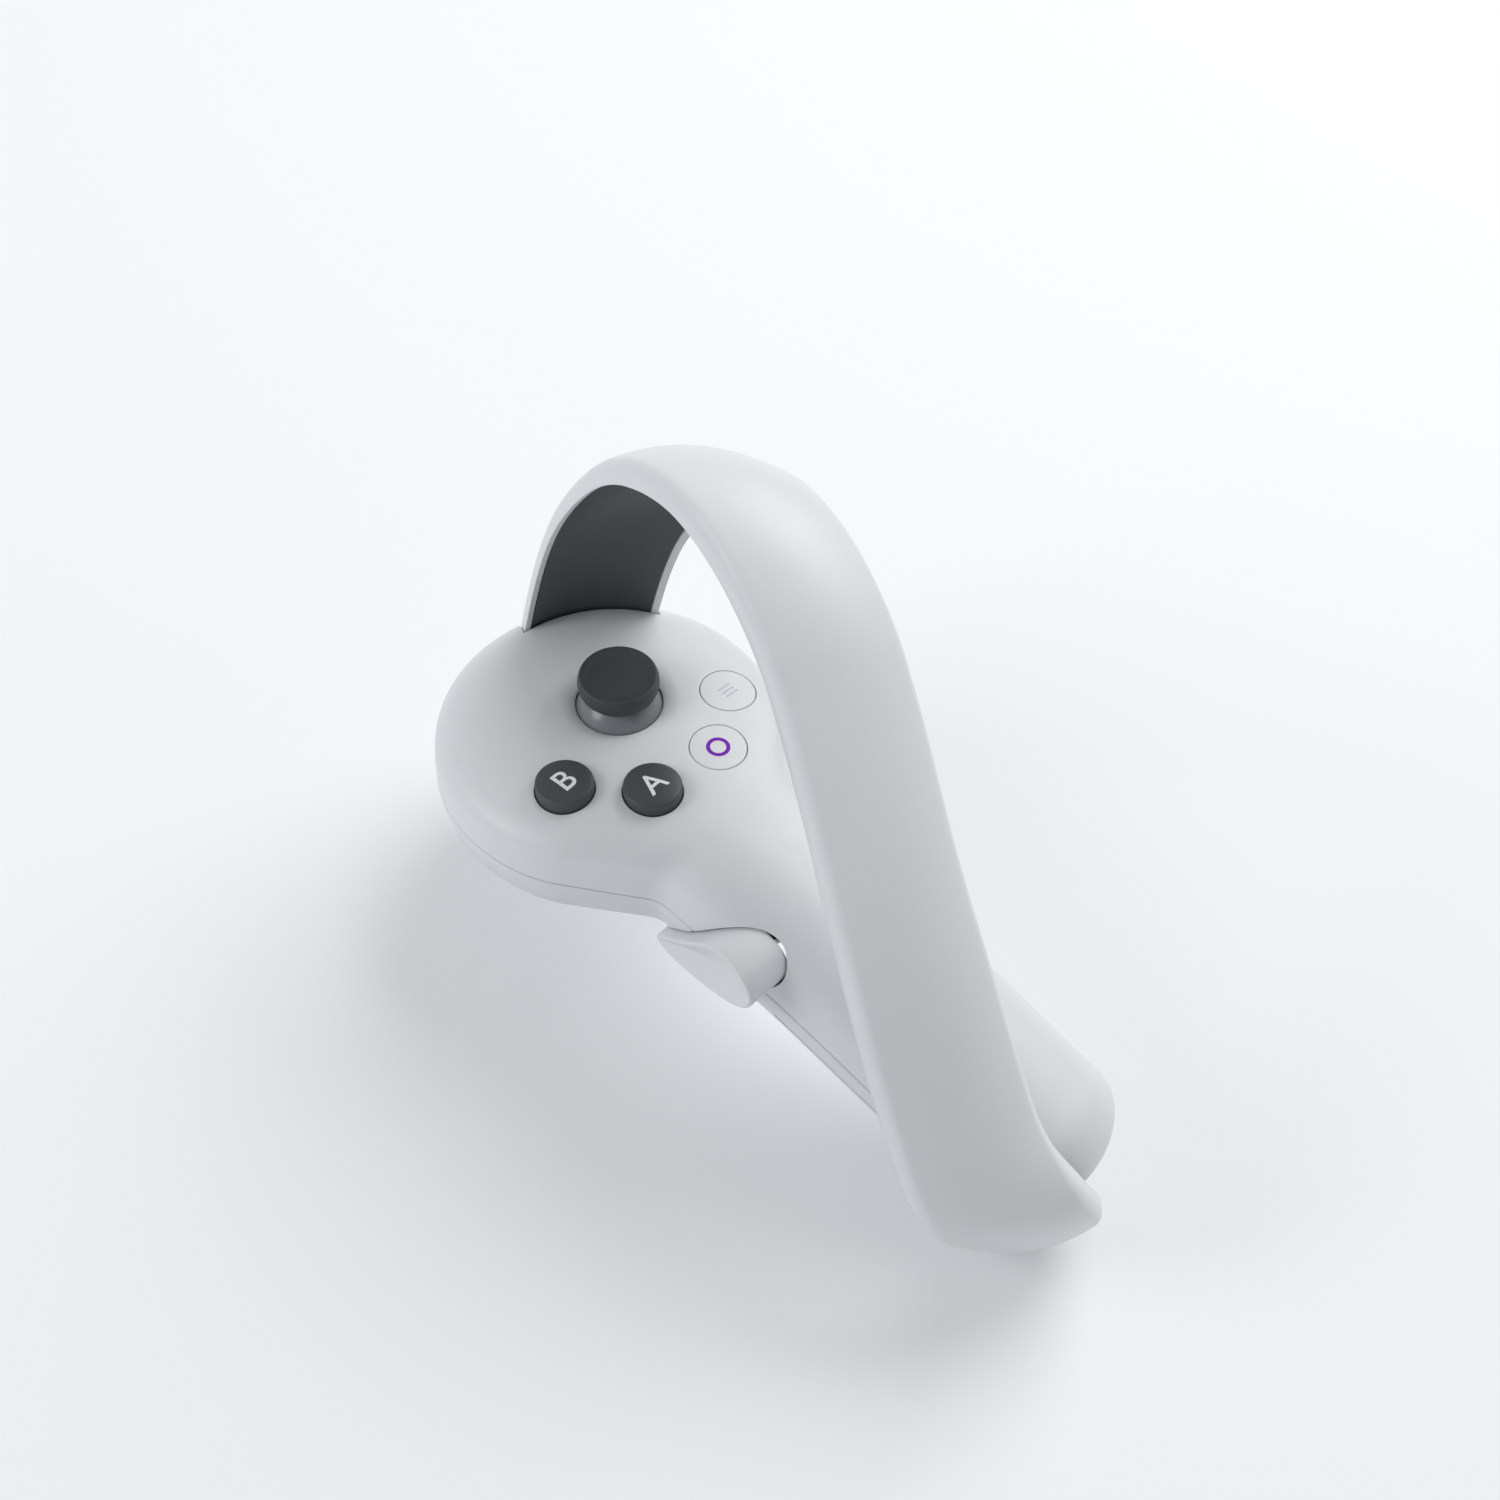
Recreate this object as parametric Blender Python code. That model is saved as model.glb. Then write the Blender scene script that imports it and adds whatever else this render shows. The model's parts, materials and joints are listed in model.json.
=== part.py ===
"""Right-hand VR motion controller: a round control head, a sloping handle and a
tracking ring that arches from the head's far side to the handle's end.

The design frame has its origin on the control face, +Z out of the face, +Y towards the
front of the head and +X to the right. Lengths below are millimetres in that frame, and
place() turns them into metres. The whole frame then leans by REST_TILT, so that the
controller lies as it does on a table.
"""

import math

import bmesh
import bpy
from mathutils import Matrix, Vector

MM = 0.001
REST_TILT = -8.5          # degrees about X: the front of the head dips to the table

# Shells
WALL = 1.8                 # wall of both shells and the battery cover
GAP = 0.35                 # clearance between pieces that meet or pass each other
SEAM_DROP = 1.2            # the shells meet this far below the widest line
HEAD_RADIUS = 32.4
NECK_BLEND = 5.0           # higher is a tighter corner between head and handle
POMMEL_LENGTH = 12.0       # rounded end past the last spine station
ARC_STEPS = 16
SIDE_STEPS = 12
POMMEL_STEPS = 10

# Spine of the body: x, y, z, half width of the handle, height of the top and depth of the
# bottom above and below it, and how square the top and the bottom are (2 is an ellipse).
SPINE = (
    (6.3, 9.0, -11.0, 17.5, 11.0, 13.0, 4.0, 3.8),
    (6.2, -6.0, -11.2, 17.5, 11.1, 13.4, 3.8, 3.7),
    (5.6, -18.0, -12.4, 17.5, 11.6, 14.0, 3.2, 3.2),
    (5.6, -30.0, -15.2, 17.4, 12.8, 14.6, 2.7, 2.9),
    (6.9, -45.0, -21.6, 16.8, 14.0, 15.0, 2.3, 2.5),
    (10.1, -68.0, -34.0, 17.0, 14.8, 15.0, 2.2, 2.5),
    (13.2, -91.5, -46.6, 16.8, 14.8, 15.0, 2.2, 2.5),
)
HANDLE_START = 4           # the spine station where the grip part of the handle starts

# Tracking ring: x, y, z of the middle of its outer face, then the direction across it.
RING_PATH = (
    (26.0, 35.5, -13.5, 0.81, -0.59, 0.00),
    (26.5, 35.0, -2.0, 0.81, -0.59, -0.02),
    (28.5, 28.5, 23.5, 0.78, -0.61, -0.23),
    (29.0, 18.5, 42.0, 0.77, -0.59, -0.31),
    (27.5, 6.5, 55.0, 0.80, -0.54, -0.28),
    (24.0, -9.5, 61.5, 0.82, -0.50, -0.26),
    (18.5, -27.0, 59.0, 0.83, -0.48, -0.23),
    (11.7, -44.5, 48.0, 0.85, -0.45, -0.21),
    (-3.4, -75.0, 14.2, 0.90, -0.40, -0.17),
    (-11.8, -97.5, -19.5, 0.88, -0.46, -0.12),
    (-11.0, -105.6, -36.5, 0.84, -0.54, -0.05),
    (-2.4, -104.4, -54.0, 0.76, -0.63, 0.10),
    (4.2, -97.2, -63.8, 0.70, -0.69, 0.18),
)
RING_STATIONS = 44
RING_WIDTH = 25.6
RING_FLARE = 0.06          # how much wider the ring is along its last third
RING_DEPTH = 4.6
RING_CROWN = 3.4           # how far the ring's edges fall behind its middle
RING_FACE = 1.5            # wall behind the outer face
RING_RIM = 1.3             # the channel's two side walls
RING_TIP = 9.0             # length of the rounded tip
LINER_THICK = 1.2
LINER_SPLIT = 0.60         # share of the ring's length that the dark liner covers
LED_COUNT = 9
LED_HALF = 1.8             # half the length of each raised diode on the strip

# Thumbstick
STICK = (9.9, 9.7)
STICK_WELL = 8.1           # radius
STICK_PIVOT = -5.0
STICK_CAP_RADIUS = 7.7
STICK_CAP_TOP = 6.8
STICK_CAP_THICK = 4.2
STICK_STEM = 1.9           # radius
STICK_CUP = 11.0           # outer radius of the module's cup
STICK_DOME = 8.9           # radius of the skirt that fills the well
STICK_RECESS = -1.0        # the shell is thinner round the well, down from here

# Buttons: x, y, radius of the cap, travel
BUTTON_A = (-2.1, -10.3, 5.5, 1.0)
BUTTON_B = (-12.4, 2.0, 5.5, 1.0)
HOME = (13.9, -11.7, 5.3, 0.6)
MENU = (25.6, -3.3, 5.2, 0.6)
BUTTON_RISE = 1.9          # how far A and B stand above the face
BUTTON_FLANGE = 0.9        # how much wider the flange under the shell is
FLANGE_THICK = 0.9

# Main board
BOARD_TOP = -13.5
BOARD_THICK = 1.2
BOARD_RADIUS = HEAD_RADIUS - 6.4
SWITCH_SIZE = 5.0
SWITCH_HEIGHT = 2.0

# Index trigger: the pivot, and the outline in the plane across it (y, z)
TRIGGER_X = 6.3
TRIGGER_WIDTH = 19.0
TRIGGER_PIVOT = (25.0, -18.6)
TRIGGER_PIN = 1.25
TRIGGER_PULL = 16.0
TRIGGER_OUTLINE = (
    (38.2, -14.9), (40.6, -18.5), (41.4, -23.0), (40.0, -28.5), (37.8, -33.0), (37.2, -37.5),
    (38.0, -41.0), (35.4, -41.6), (32.2, -37.5), (31.2, -32.0), (30.4, -27.5), (27.5, -24.3),
    (23.0, -22.9), (21.5, -19.5), (22.3, -16.2), (26.0, -15.1), (32.0, -14.9),
)

# Grip paddle on the left of the handle: outline (y, z) seen from the side
GRIP_OUTLINE = (
    (-20.5, -24.0), (-29.0, -16.8), (-35.5, -11.4), (-41.0, -9.6), (-46.0, -11.2), (-48.2, -15.0),
    (-47.0, -18.6), (-42.6, -21.6), (-35.5, -23.6), (-27.0, -24.9),
)
GRIP_FACE_TIP = -12.8      # x of the outer face at the tip and at the rear
GRIP_FACE_REAR = -17.2
GRIP_INNER = -6.8          # x of the inner side
GRIP_PIVOT = (-7.8, -25.0)  # x, y of the upright pin
GRIP_SHELF = (-14.2, -11.4)  # the shelf on the upper shell that holds the pin
GRIP_SQUEEZE = 5.0
GRIP_PIN = 0.9

# Batteries, in the handle's own axes
CELL_RADIUS = 5.2
CELL_LENGTH = 44.5
CELL_START = 4.2
COVER_START = 2.8
COVER_END = 50.6
COVER_EDGE = -6.0          # the cover starts this far below the handle's axis
TRAY_HALF = 8.0

RING_GAP = 0.4             # under the ring's root
RING_FOOT = 2.4            # thickness of the tab that ties the ring to the upper shell
RING_BOSS = 2.3            # radius of the stub that ties the ring to the pommel
RING_BOSS_END = (62.6, -8.5, -5.5)  # where the stub stops, in the handle's own axes
LINER_LAST = 0.92
TRIGGER_EAR = 13.6         # from the trigger's middle to the ears that hold its pin
NECK_SEAM = -18.4
BUTTONS = {"button_a": BUTTON_A, "button_b": BUTTON_B, "home_button": HOME, "menu_button": MENU}

# Screws: head bosses as angle round the head, then one at the neck
BOSS_ANGLES = (152.0, 225.0, 5.0)
BOSS_REACH = HEAD_RADIUS - 5.8
NECK_BOSS = (6.0, -36.0)
BOSS_RADIUS = 2.9
SCREW_HEAD = 2.0
SCREW_SHANK = 0.9

MATERIALS = {
    "shell_white": ((0.86, 0.87, 0.88), 0.42, 0.0),
    "shell_lower": ((0.83, 0.84, 0.85), 0.5, 0.0),
    "liner_dark": ((0.075, 0.08, 0.09), 0.45, 0.0),
    "cap_dark": ((0.07, 0.073, 0.08), 0.5, 0.0),
    "stem_grey": ((0.32, 0.33, 0.34), 0.35, 0.6),
    "steel": ((0.62, 0.62, 0.63), 0.3, 1.0),
    "board_green": ((0.03, 0.16, 0.08), 0.5, 0.0),
    "inner_black": ((0.03, 0.03, 0.035), 0.6, 0.0),
    "nickel": ((0.7, 0.68, 0.62), 0.28, 1.0),
    "cell_jacket": ((0.12, 0.2, 0.42), 0.35, 0.0),
    "magnet": ((0.45, 0.45, 0.47), 0.25, 1.0),
}


# ---------------------------------------------------------------- scene and mesh helpers

def clear_scene():
    for item in list(bpy.data.objects):
        bpy.data.objects.remove(item, do_unlink=True)


def material(name):
    found = bpy.data.materials.get(name)
    if found:
        return found
    colour, roughness, metallic = MATERIALS[name]
    made = bpy.data.materials.new(name)
    made.use_nodes = True
    shader = made.node_tree.nodes["Principled BSDF"]
    shader.inputs["Base Color"].default_value = (*colour, 1.0)
    shader.inputs["Roughness"].default_value = roughness
    shader.inputs["Metallic"].default_value = metallic
    return made


def add_empty(name, where=(0, 0, 0), parent=None):
    empty = bpy.data.objects.new(name, None)
    empty.location = Vector(where) * MM
    empty.parent = parent
    empty.empty_display_size = 0.005
    bpy.context.scene.collection.objects.link(empty)
    return empty


def place(name, points, faces, finish, parent):
    """A closed mesh from millimetre points in the design frame, under its parent's origin."""
    mesh = bpy.data.meshes.new(name)
    offset = parent.location.copy() if parent.parent else Vector()
    mesh.from_pydata([Vector(p) * MM - offset for p in points], [], faces)
    shape = bmesh.new()
    shape.from_mesh(mesh)
    bmesh.ops.remove_doubles(shape, verts=shape.verts, dist=1e-6)
    bmesh.ops.dissolve_degenerate(shape, edges=shape.edges, dist=1e-7)
    bmesh.ops.recalc_face_normals(shape, faces=shape.faces)
    shape.to_mesh(mesh)
    shape.free()
    mesh.materials.append(material(finish))
    mesh.shade_smooth()
    mesh.set_sharp_from_angle(angle=math.radians(35))
    made = bpy.data.objects.new(name, mesh)
    made.parent = parent
    bpy.context.scene.collection.objects.link(made)
    return made


def combine(target, tool, operation="DIFFERENCE"):
    """Cuts target with tool, or joins the two; the tool stays as a hidden guide."""
    step = target.modifiers.new(tool.name, "BOOLEAN")
    step.operation = operation
    step.solver = "EXACT"
    step.object = tool
    tool.hide_render = True
    tool.display_type = "WIRE"
    return target


def tube_faces(rings, count, closed_ends=True):
    """Faces between rings of count points each, numbered one ring after another."""
    faces = []
    for i in range(rings - 1):
        for j in range(count):
            k = (j + 1) % count
            faces.append((i * count + j, i * count + k, (i + 1) * count + k, (i + 1) * count + j))
    if closed_ends:
        faces.append(tuple(reversed(range(count))))
        faces.append(tuple(range((rings - 1) * count, rings * count)))
    return faces


def turned(name, foot, axis, profile, finish, parent, steps=24):
    """A solid of revolution: profile holds (radius, height) from foot along axis."""
    axis = Vector(axis).normalized()
    side = axis.orthogonal().normalized()
    other = axis.cross(side)
    points = []
    for radius, height in profile:
        for i in range(steps):
            turn = math.tau * i / steps
            around = side * math.cos(turn) + other * math.sin(turn)
            points.append(Vector(foot) + axis * height + around * max(radius, 0.0))
    open_bore = profile[0] == profile[-1]
    faces = tube_faces(len(profile), steps, closed_ends=not open_bore)
    return place(name, points, faces, finish, parent)


def rod(name, start, end, radius, finish, parent, steps=16):
    start, end = Vector(start), Vector(end)
    profile = ((radius, 0.0), (radius, (end - start).length))
    return turned(name, start, end - start, profile, finish, parent, steps)


def prism(name, outline, origin, across, up, out, near, far, finish, parent):
    """An outline in the across-up plane at origin, drawn along out from near to far."""
    across, up, out = Vector(across), Vector(up), Vector(out)
    flat = [Vector(origin) + across * a + up * b for a, b in outline]
    points = [p + out * near for p in flat] + [p + out * far for p in flat]
    return place(name, points, tube_faces(2, len(outline)), finish, parent)


def block(name, centre, size, finish, parent, axes=None):
    x, y, z = axes or (Vector((1, 0, 0)), Vector((0, 1, 0)), Vector((0, 0, 1)))
    a, b, c = (s / 2 for s in size)
    outline = ((-a, -b), (a, -b), (a, b), (-a, b))
    return prism(name, outline, centre, x, y, z, -c, c, finish, parent)


def coil(name, start, axis, radius, wire, turns, pitch, finish, parent):
    """A round-wire spring as one swept tube."""
    axis = Vector(axis).normalized()
    side = axis.orthogonal().normalized()
    other = axis.cross(side)
    steps, sides = int(turns * 10), 5
    points = []
    for i in range(steps + 1):
        turn = math.tau * i / 10
        around = side * math.cos(turn) + other * math.sin(turn)
        middle = Vector(start) + around * radius + axis * (pitch * i / 10)
        for j in range(sides):
            lean = math.tau * j / sides
            points.append(middle + around * wire * math.cos(lean) + axis * wire * math.sin(lean))
    return place(name, points, tube_faces(steps + 1, sides), finish, parent)


def grown(outline, amount):
    """An outline moved outwards by amount at every corner."""
    count = len(outline)
    area = sum(outline[i][0] * outline[(i + 1) % count][1] - outline[(i + 1) % count][0] * outline[i][1]
               for i in range(count))
    turn = 1.0 if area > 0 else -1.0
    result = []
    for i, point in enumerate(outline):
        before, after = Vector(outline[i - 1]), Vector(outline[(i + 1) % count])
        here = Vector(point)
        first = (here - before).normalized()
        second = (after - here).normalized()
        normal = Vector((first.y, -first.x)) + Vector((second.y, -second.x))
        normal.normalize()
        stretch = max(0.5, normal.dot(Vector((first.y, -first.x))))
        result.append(tuple(here + normal * turn * amount / stretch))
    return result


def through(rows, share):
    """The point at a share of the way along a smooth curve through rows of numbers."""
    places = [0.0]
    for a, b in zip(rows, rows[1:]):
        places.append(places[-1] + math.dist(a[:3], b[:3]))
    want = share * places[-1]
    i = max(k for k in range(len(rows) - 1) if places[k] <= want + 1e-9)
    span = places[i + 1] - places[i]
    t = (want - places[i]) / span

    def slope(k):
        low, high = max(k - 1, 0), min(k + 1, len(rows) - 1)
        return [(b - a) / (places[high] - places[low]) for a, b in zip(rows[low], rows[high])]

    h00 = 2 * t ** 3 - 3 * t ** 2 + 1
    h10 = t ** 3 - 2 * t ** 2 + t
    h01 = 1 - h00
    h11 = t ** 3 - t ** 2
    return [h00 * p + h10 * span * m + h01 * q + h11 * span * n
            for p, q, m, n in zip(rows[i], rows[i + 1], slope(i), slope(i + 1))]


# ------------------------------------------------------------------------ body surfaces

def spine_frame(share, rows=SPINE):
    """Anchor, direction along, right and up, and the section's sizes at a share of the spine."""
    here = through(rows, share)
    ahead = Vector(through(rows, min(share + 0.004, 1.0))[:3])
    behind = Vector(through(rows, max(share - 0.004, 0.0))[:3])
    along = (ahead - behind).normalized() if share > 0.0 else Vector((0, -1, 0))
    right = Vector((0, 0, 1)).cross(along).normalized()
    up = along.cross(right)
    return Vector(here[:3]), along, right, up, here[3:]


def half_width(anchor, handle):
    """The head's circle and the handle's side, run into each other."""
    back = (anchor - Vector(SPINE[0][:3])).length
    circle = math.sqrt(max(HEAD_RADIUS ** 2 - back ** 2, 0.0))
    return (circle ** NECK_BLEND + handle ** NECK_BLEND) ** (1 / NECK_BLEND)


def body_outline(inset, handle_only=False):
    """Stations round the widest line: anchor, outward vector, up, and the section's sizes."""
    first = HANDLE_START / (len(SPINE) - 1) if handle_only else 0.0
    stations = []

    def add(anchor, outward, up, sizes):
        _, top, bottom, top_power, bottom_power = sizes
        stations.append((anchor, outward, up, top - inset, bottom - inset, top_power, bottom_power))

    start, along, right, up, sizes = spine_frame(first)
    width = (sizes[0] if handle_only else half_width(start, sizes[0])) - inset
    for i in range(ARC_STEPS + 1):
        turn = math.pi * i / ARC_STEPS
        add(start, (right * math.cos(turn) - along * math.sin(turn)) * width, up, sizes)
    shares = [first + (1 - first) * i / SIDE_STEPS for i in range(1, SIDE_STEPS + 1)]
    for share in shares:
        anchor, _, right, up, sizes = spine_frame(share)
        width = (sizes[0] if handle_only else half_width(anchor, sizes[0])) - inset
        add(anchor, -right * width, up, sizes)
    end, along, right, up, sizes = spine_frame(1.0)
    width, length = sizes[0] - inset, POMMEL_LENGTH - inset
    for i in range(1, POMMEL_STEPS):
        turn = math.pi * i / POMMEL_STEPS
        add(end, along * math.sin(turn) * length - right * math.cos(turn) * width, up, sizes)
    for share in reversed(shares):
        anchor, _, right, up, sizes = spine_frame(share)
        width = (sizes[0] if handle_only else half_width(anchor, sizes[0])) - inset
        add(anchor, right * width, up, sizes)
    return stations


def surface_row(stations, lift):
    """One row of points: lift is an angle in degrees, or ("drop", mm) below the widest line."""
    row = []
    for anchor, outward, up, top, bottom, top_power, bottom_power in stations:
        if isinstance(lift, tuple):
            share = lift[1] / bottom
            reach = (1 - share ** bottom_power) ** (1 / bottom_power)
            height = -lift[1]
        else:
            power = top_power if lift >= 0 else bottom_power
            turn = math.radians(abs(lift))
            reach = max(math.cos(turn), 0.0) ** (2 / power) if abs(lift) < 90 else 0.0
            height = math.sin(turn) ** (2 / power) * (top if lift >= 0 else -bottom)
        row.append(anchor + outward * reach + up * height)
    return row


def skin(name, lifts, finish, parent, inset=0.0, wall=None, handle_only=False):
    """A shell between two insets, or with no wall the closed solid inside the skin."""
    outer = body_outline(inset, handle_only)
    points = [p for lift in lifts for p in surface_row(outer, lift)]
    count = len(outer)
    faces = tube_faces(len(lifts), count, closed_ends=False)
    if wall:
        inner = body_outline(inset + wall, handle_only)
        base = len(points)
        points += [p for lift in lifts for p in surface_row(inner, lift)]
        faces += [tuple(base + k for k in reversed(face)) for face in faces]
        for j in range(count):
            k = (j + 1) % count
            faces.append((j, base + j, base + k, k))
    return place(name, points, faces, finish, parent)


def roof_height(x, y, reach):
    """Lowest height of the head's inner roof over a circle at x, y."""
    centre = SPINE[0]
    share = min((math.dist((x, y), centre[:2]) + reach) / (HEAD_RADIUS - WALL), 0.97)
    return centre[2] + (centre[4] - WALL) * (1 - share ** centre[6]) ** (1 / centre[6])


# ------------------------------------------------------------------------ ring surfaces

def ring_frame(share):
    """Middle of the outer face, direction along, across and outwards."""
    here = through(RING_PATH, share)
    ahead = Vector(through(RING_PATH, min(share + 0.003, 1.0))[:3])
    behind = Vector(through(RING_PATH, max(share - 0.003, 0.0))[:3])
    along = (ahead - behind).normalized()
    outward = along.cross(Vector(here[3:])).normalized()
    return Vector(here[:3]), along, outward.cross(along), outward


def ring_length():
    return sum(math.dist(a[:3], b[:3]) for a, b in zip(RING_PATH, RING_PATH[1:]))


def crown_fall(across):
    """How far the band falls behind its middle, straight between quarters of its width."""
    quarters = abs(across) / (RING_WIDTH / 4)
    low = math.floor(quarters)
    return RING_CROWN / 4 * (low ** 2 + (quarters - low) * (2 * low + 1))


def band_point(share, across, depth):
    """A point of the band, on the straight between the two nearest ring stations."""
    low = min(int(share * RING_STATIONS + 1e-6), RING_STATIONS - 1)
    ends = []
    for station in (low, low + 1):
        middle, _, side, outward = ring_frame(station / RING_STATIONS)
        rise = min(max((station / RING_STATIONS - 0.58) / 0.16, 0.0), 1.0)
        wider = 1 + RING_FLARE * rise * rise * (3 - 2 * rise)
        ends.append(middle + side * across * wider - outward * (depth + crown_fall(across)))
    return ends[0].lerp(ends[1], share * RING_STATIONS - low)


def swept_band(name, shape, shares, finish, parent):
    """Sweeps shape(share), a section of (across, depth), through shares of the ring's length."""
    points = [band_point(share, a, depth) for share in shares for a, depth in shape(share)]
    return place(name, points, tube_faces(len(shares), len(shape(shares[0]))), finish, parent)


def ring_shares(start, end):
    """The ring stations from start to end, with both ends."""
    inside = [i / RING_STATIONS for i in range(RING_STATIONS + 1)]
    return [start] + [share for share in inside if start + 0.002 < share < end - 0.002] + [end]


def band_section(width, near, far, soft):
    """A band's section from depth near to far, its outer corners eased by soft."""
    half = width / 2
    quarter = RING_WIDTH / 4
    side = ((half, near + 1.5 * soft), (half - 0.25 * soft, near + 0.6 * soft), (half - soft, near))
    outer = [(-quarter, near), (0.0, near), (quarter, near)]
    left = [(-a, d) for a, d in side]
    inner = [(half, far), (quarter, far), (0.0, far), (-quarter, far), (-half, far)]
    return left + outer + list(reversed(side)) + inner


def flat_section(width, near, far):
    """A band's section with square corners."""
    half, quarter = width / 2, RING_WIDTH / 4
    across = (-half, -quarter, 0.0, quarter, half) if half > quarter else (-half, 0.0, half)
    return [(a, near) for a in across] + [(a, far) for a in reversed(across)]


# ------------------------------------------------------------------------------- pieces

UP = Vector((0, 0, 1))
SIDE = Vector((1, 0, 0))
AHEAD = Vector((0, 1, 0))
FULL_SKIN = [-90, -80, -66, -50, -34, -18, 0, 18, 34, 50, 66, 80, 90]


def head_point(angle, reach, z):
    """A point seen from above at an angle and a distance from the head's middle."""
    x, y = SPINE[0][:2]
    turn = math.radians(angle)
    return Vector((x + reach * math.cos(turn), y + reach * math.sin(turn), z))


def handle_axes():
    start, end = Vector(SPINE[HANDLE_START][:3]), Vector(SPINE[-1][:3])
    along = (end - start).normalized()
    right = UP.cross(along).normalized()
    return start, along, right, along.cross(right)


def handle_point(along, right, up):
    start, a, r, u = handle_axes()
    return start + a * along + r * right + u * up


def handle_block(name, low, high, finish, parent):
    """A block from low to high corners, both given as (along, right, up) in the handle."""
    _, a, r, u = handle_axes()
    middle = handle_point(*[(p + q) / 2 for p, q in zip(low, high)])
    size = [q - p for p, q in zip(low, high)]
    return block(name, middle, size, finish, parent, axes=(a, r, u))


def screw_places():
    """Each case screw: x, y and the height where its two bosses meet."""
    seam = SPINE[0][2] - SEAM_DROP
    places = [(*head_point(angle, BOSS_REACH, 0)[:2], seam) for angle in BOSS_ANGLES]
    return places + [(*NECK_BOSS, NECK_SEAM)]


def screw(name, seat, axis, length, parent):
    """A pan head under its seat, and a shank that runs length past it along axis."""
    profile = ((0, -1.3), (SCREW_HEAD * 0.7, -1.3), (SCREW_HEAD, -0.9), (SCREW_HEAD, 0),
               (SCREW_SHANK, 0), (SCREW_SHANK, length), (0, length + 0.6))
    return turned(name, seat, axis, profile, "steel", parent, steps=10)


def make_shells(frame, cover_pivot):
    top_rows = [("drop", SEAM_DROP), 0, 15, 32, 50, 67, 80, 90]
    low_rows = [("drop", SEAM_DROP + GAP), -30, -50, -68, -80, -90]
    upper = skin("upper_shell", top_rows, "shell_white", frame, wall=WALL)
    lower = skin("lower_shell", low_rows, "shell_lower", frame, wall=WALL)
    cover = skin("battery_cover", low_rows, "shell_lower", cover_pivot, wall=WALL)
    core = skin("core_guide", FULL_SKIN, "inner_black", frame, inset=WALL / 2)
    core.hide_render = True
    core.display_type = "WIRE"

    def joined(shell, tool):
        combine(tool, core, "INTERSECT")
        combine(shell, tool, "UNION")

    for i, (x, y, seam) in enumerate(screw_places()):
        joined(upper, rod(f"upper_boss_{i}", (x, y, seam), (x, y, 6), BOSS_RADIUS, "shell_white", frame))
        joined(lower, rod(f"lower_boss_{i}", (x, y, seam - 1), (x, y, -45), BOSS_RADIUS,
                          "shell_lower", frame))
        combine(upper, rod(f"upper_thread_{i}", (x, y, seam - 1), (x, y, seam + 6),
                           SCREW_SHANK + GAP, "inner_black", frame, 10))
        combine(lower, rod(f"lower_through_{i}", (x, y, seam + 1), (x, y, seam - 8),
                           SCREW_SHANK + GAP, "inner_black", frame, 10))
        combine(lower, rod(f"lower_seat_{i}", (x, y, seam - 3.2), (x, y, -50),
                           SCREW_HEAD + GAP, "inner_black", frame, 14))

    foot = ring_foot_middle()
    joined(upper, rod("foot_boss", foot + UP * (RING_FOOT / 2 + GAP), foot + UP * 14, BOSS_RADIUS,
                      "shell_white", frame))
    combine(upper, rod("foot_thread", foot, foot + UP * 5, SCREW_SHANK + GAP, "inner_black", frame, 10))
    x, y = GRIP_PIVOT
    shelf_low, shelf_high = GRIP_SHELF
    joined(upper, block("grip_shelf", (x - 2.5, y, (shelf_low + shelf_high) / 2),
                        (11, 5.5, shelf_high - shelf_low), "shell_white", frame))
    combine(upper, rod("grip_pin_hole", (x, y, shelf_low - 2), (x, y, shelf_high + 1), GRIP_PIN + 0.3,
                       "inner_black", frame, 12))
    for side in (-1, 1):
        ear = block(f"trigger_ear_{side}", (TRIGGER_X + side * TRIGGER_EAR, TRIGGER_PIVOT[0],
                                            TRIGGER_PIVOT[1] - 3.4),
                    (2.2, 7.0, 12.0), "shell_lower", frame)
        joined(lower, ear)

    # What opens the shells
    combine(upper, rod("stick_recess", (*STICK, -8), (*STICK, STICK_RECESS), STICK_CUP - 1.5, "inner_black",
                       frame, 32))
    combine(upper, rod("stick_well", (*STICK, -8), (*STICK, 4), STICK_WELL, "inner_black", frame, 32))
    for name, (bx, by, radius, _) in BUTTONS.items():
        combine(upper, rod(f"{name}_hole", (bx, by, -9.5), (bx, by, 4), radius + GAP, "inner_black",
                           frame, 28))
    notch = flat_section(RING_WIDTH + 2 * GAP, -3.0, RING_DEPTH + GAP)
    ring_notch = swept_band("ring_notch", lambda _: notch, ring_shares(0.0, 0.06), "inner_black", frame)
    combine(upper, ring_notch)
    combine(lower, ring_notch)
    slot = grown(GRIP_OUTLINE, 0.55)
    grip_slot = prism("grip_slot", slot, (0, 0, 0), AHEAD, UP, SIDE, -30, GRIP_INNER + 2.5,
                      "inner_black", frame)
    combine(upper, grip_slot)
    combine(lower, grip_slot)
    half = TRIGGER_WIDTH / 2 + 0.6
    combine(lower, block("trigger_slot", (TRIGGER_X, 41.4, -35), (2 * half, 40, 46), "inner_black", frame))
    combine(lower, rod("trigger_pin_hole", (TRIGGER_X - 20, *TRIGGER_PIVOT), (TRIGGER_X + 17, *TRIGGER_PIVOT),
                       TRIGGER_PIN + 0.3, "inner_black", frame))
    combine(lower, handle_block("cover_opening", (COVER_START, -30, -40), (COVER_END, 30, COVER_EDGE),
                                "inner_black", frame))
    blank = handle_block("cover_blank", (COVER_START + GAP, -30, -40),
                         (COVER_END - GAP, 30, COVER_EDGE - GAP), "inner_black", frame)
    combine(cover, blank, "INTERSECT")
    start, end = ring_end_boss()
    way = (end - start).normalized()
    combine(lower, rod("ring_boss_hole", start - way * 8, end, RING_BOSS + GAP, "inner_black", frame))


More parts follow.
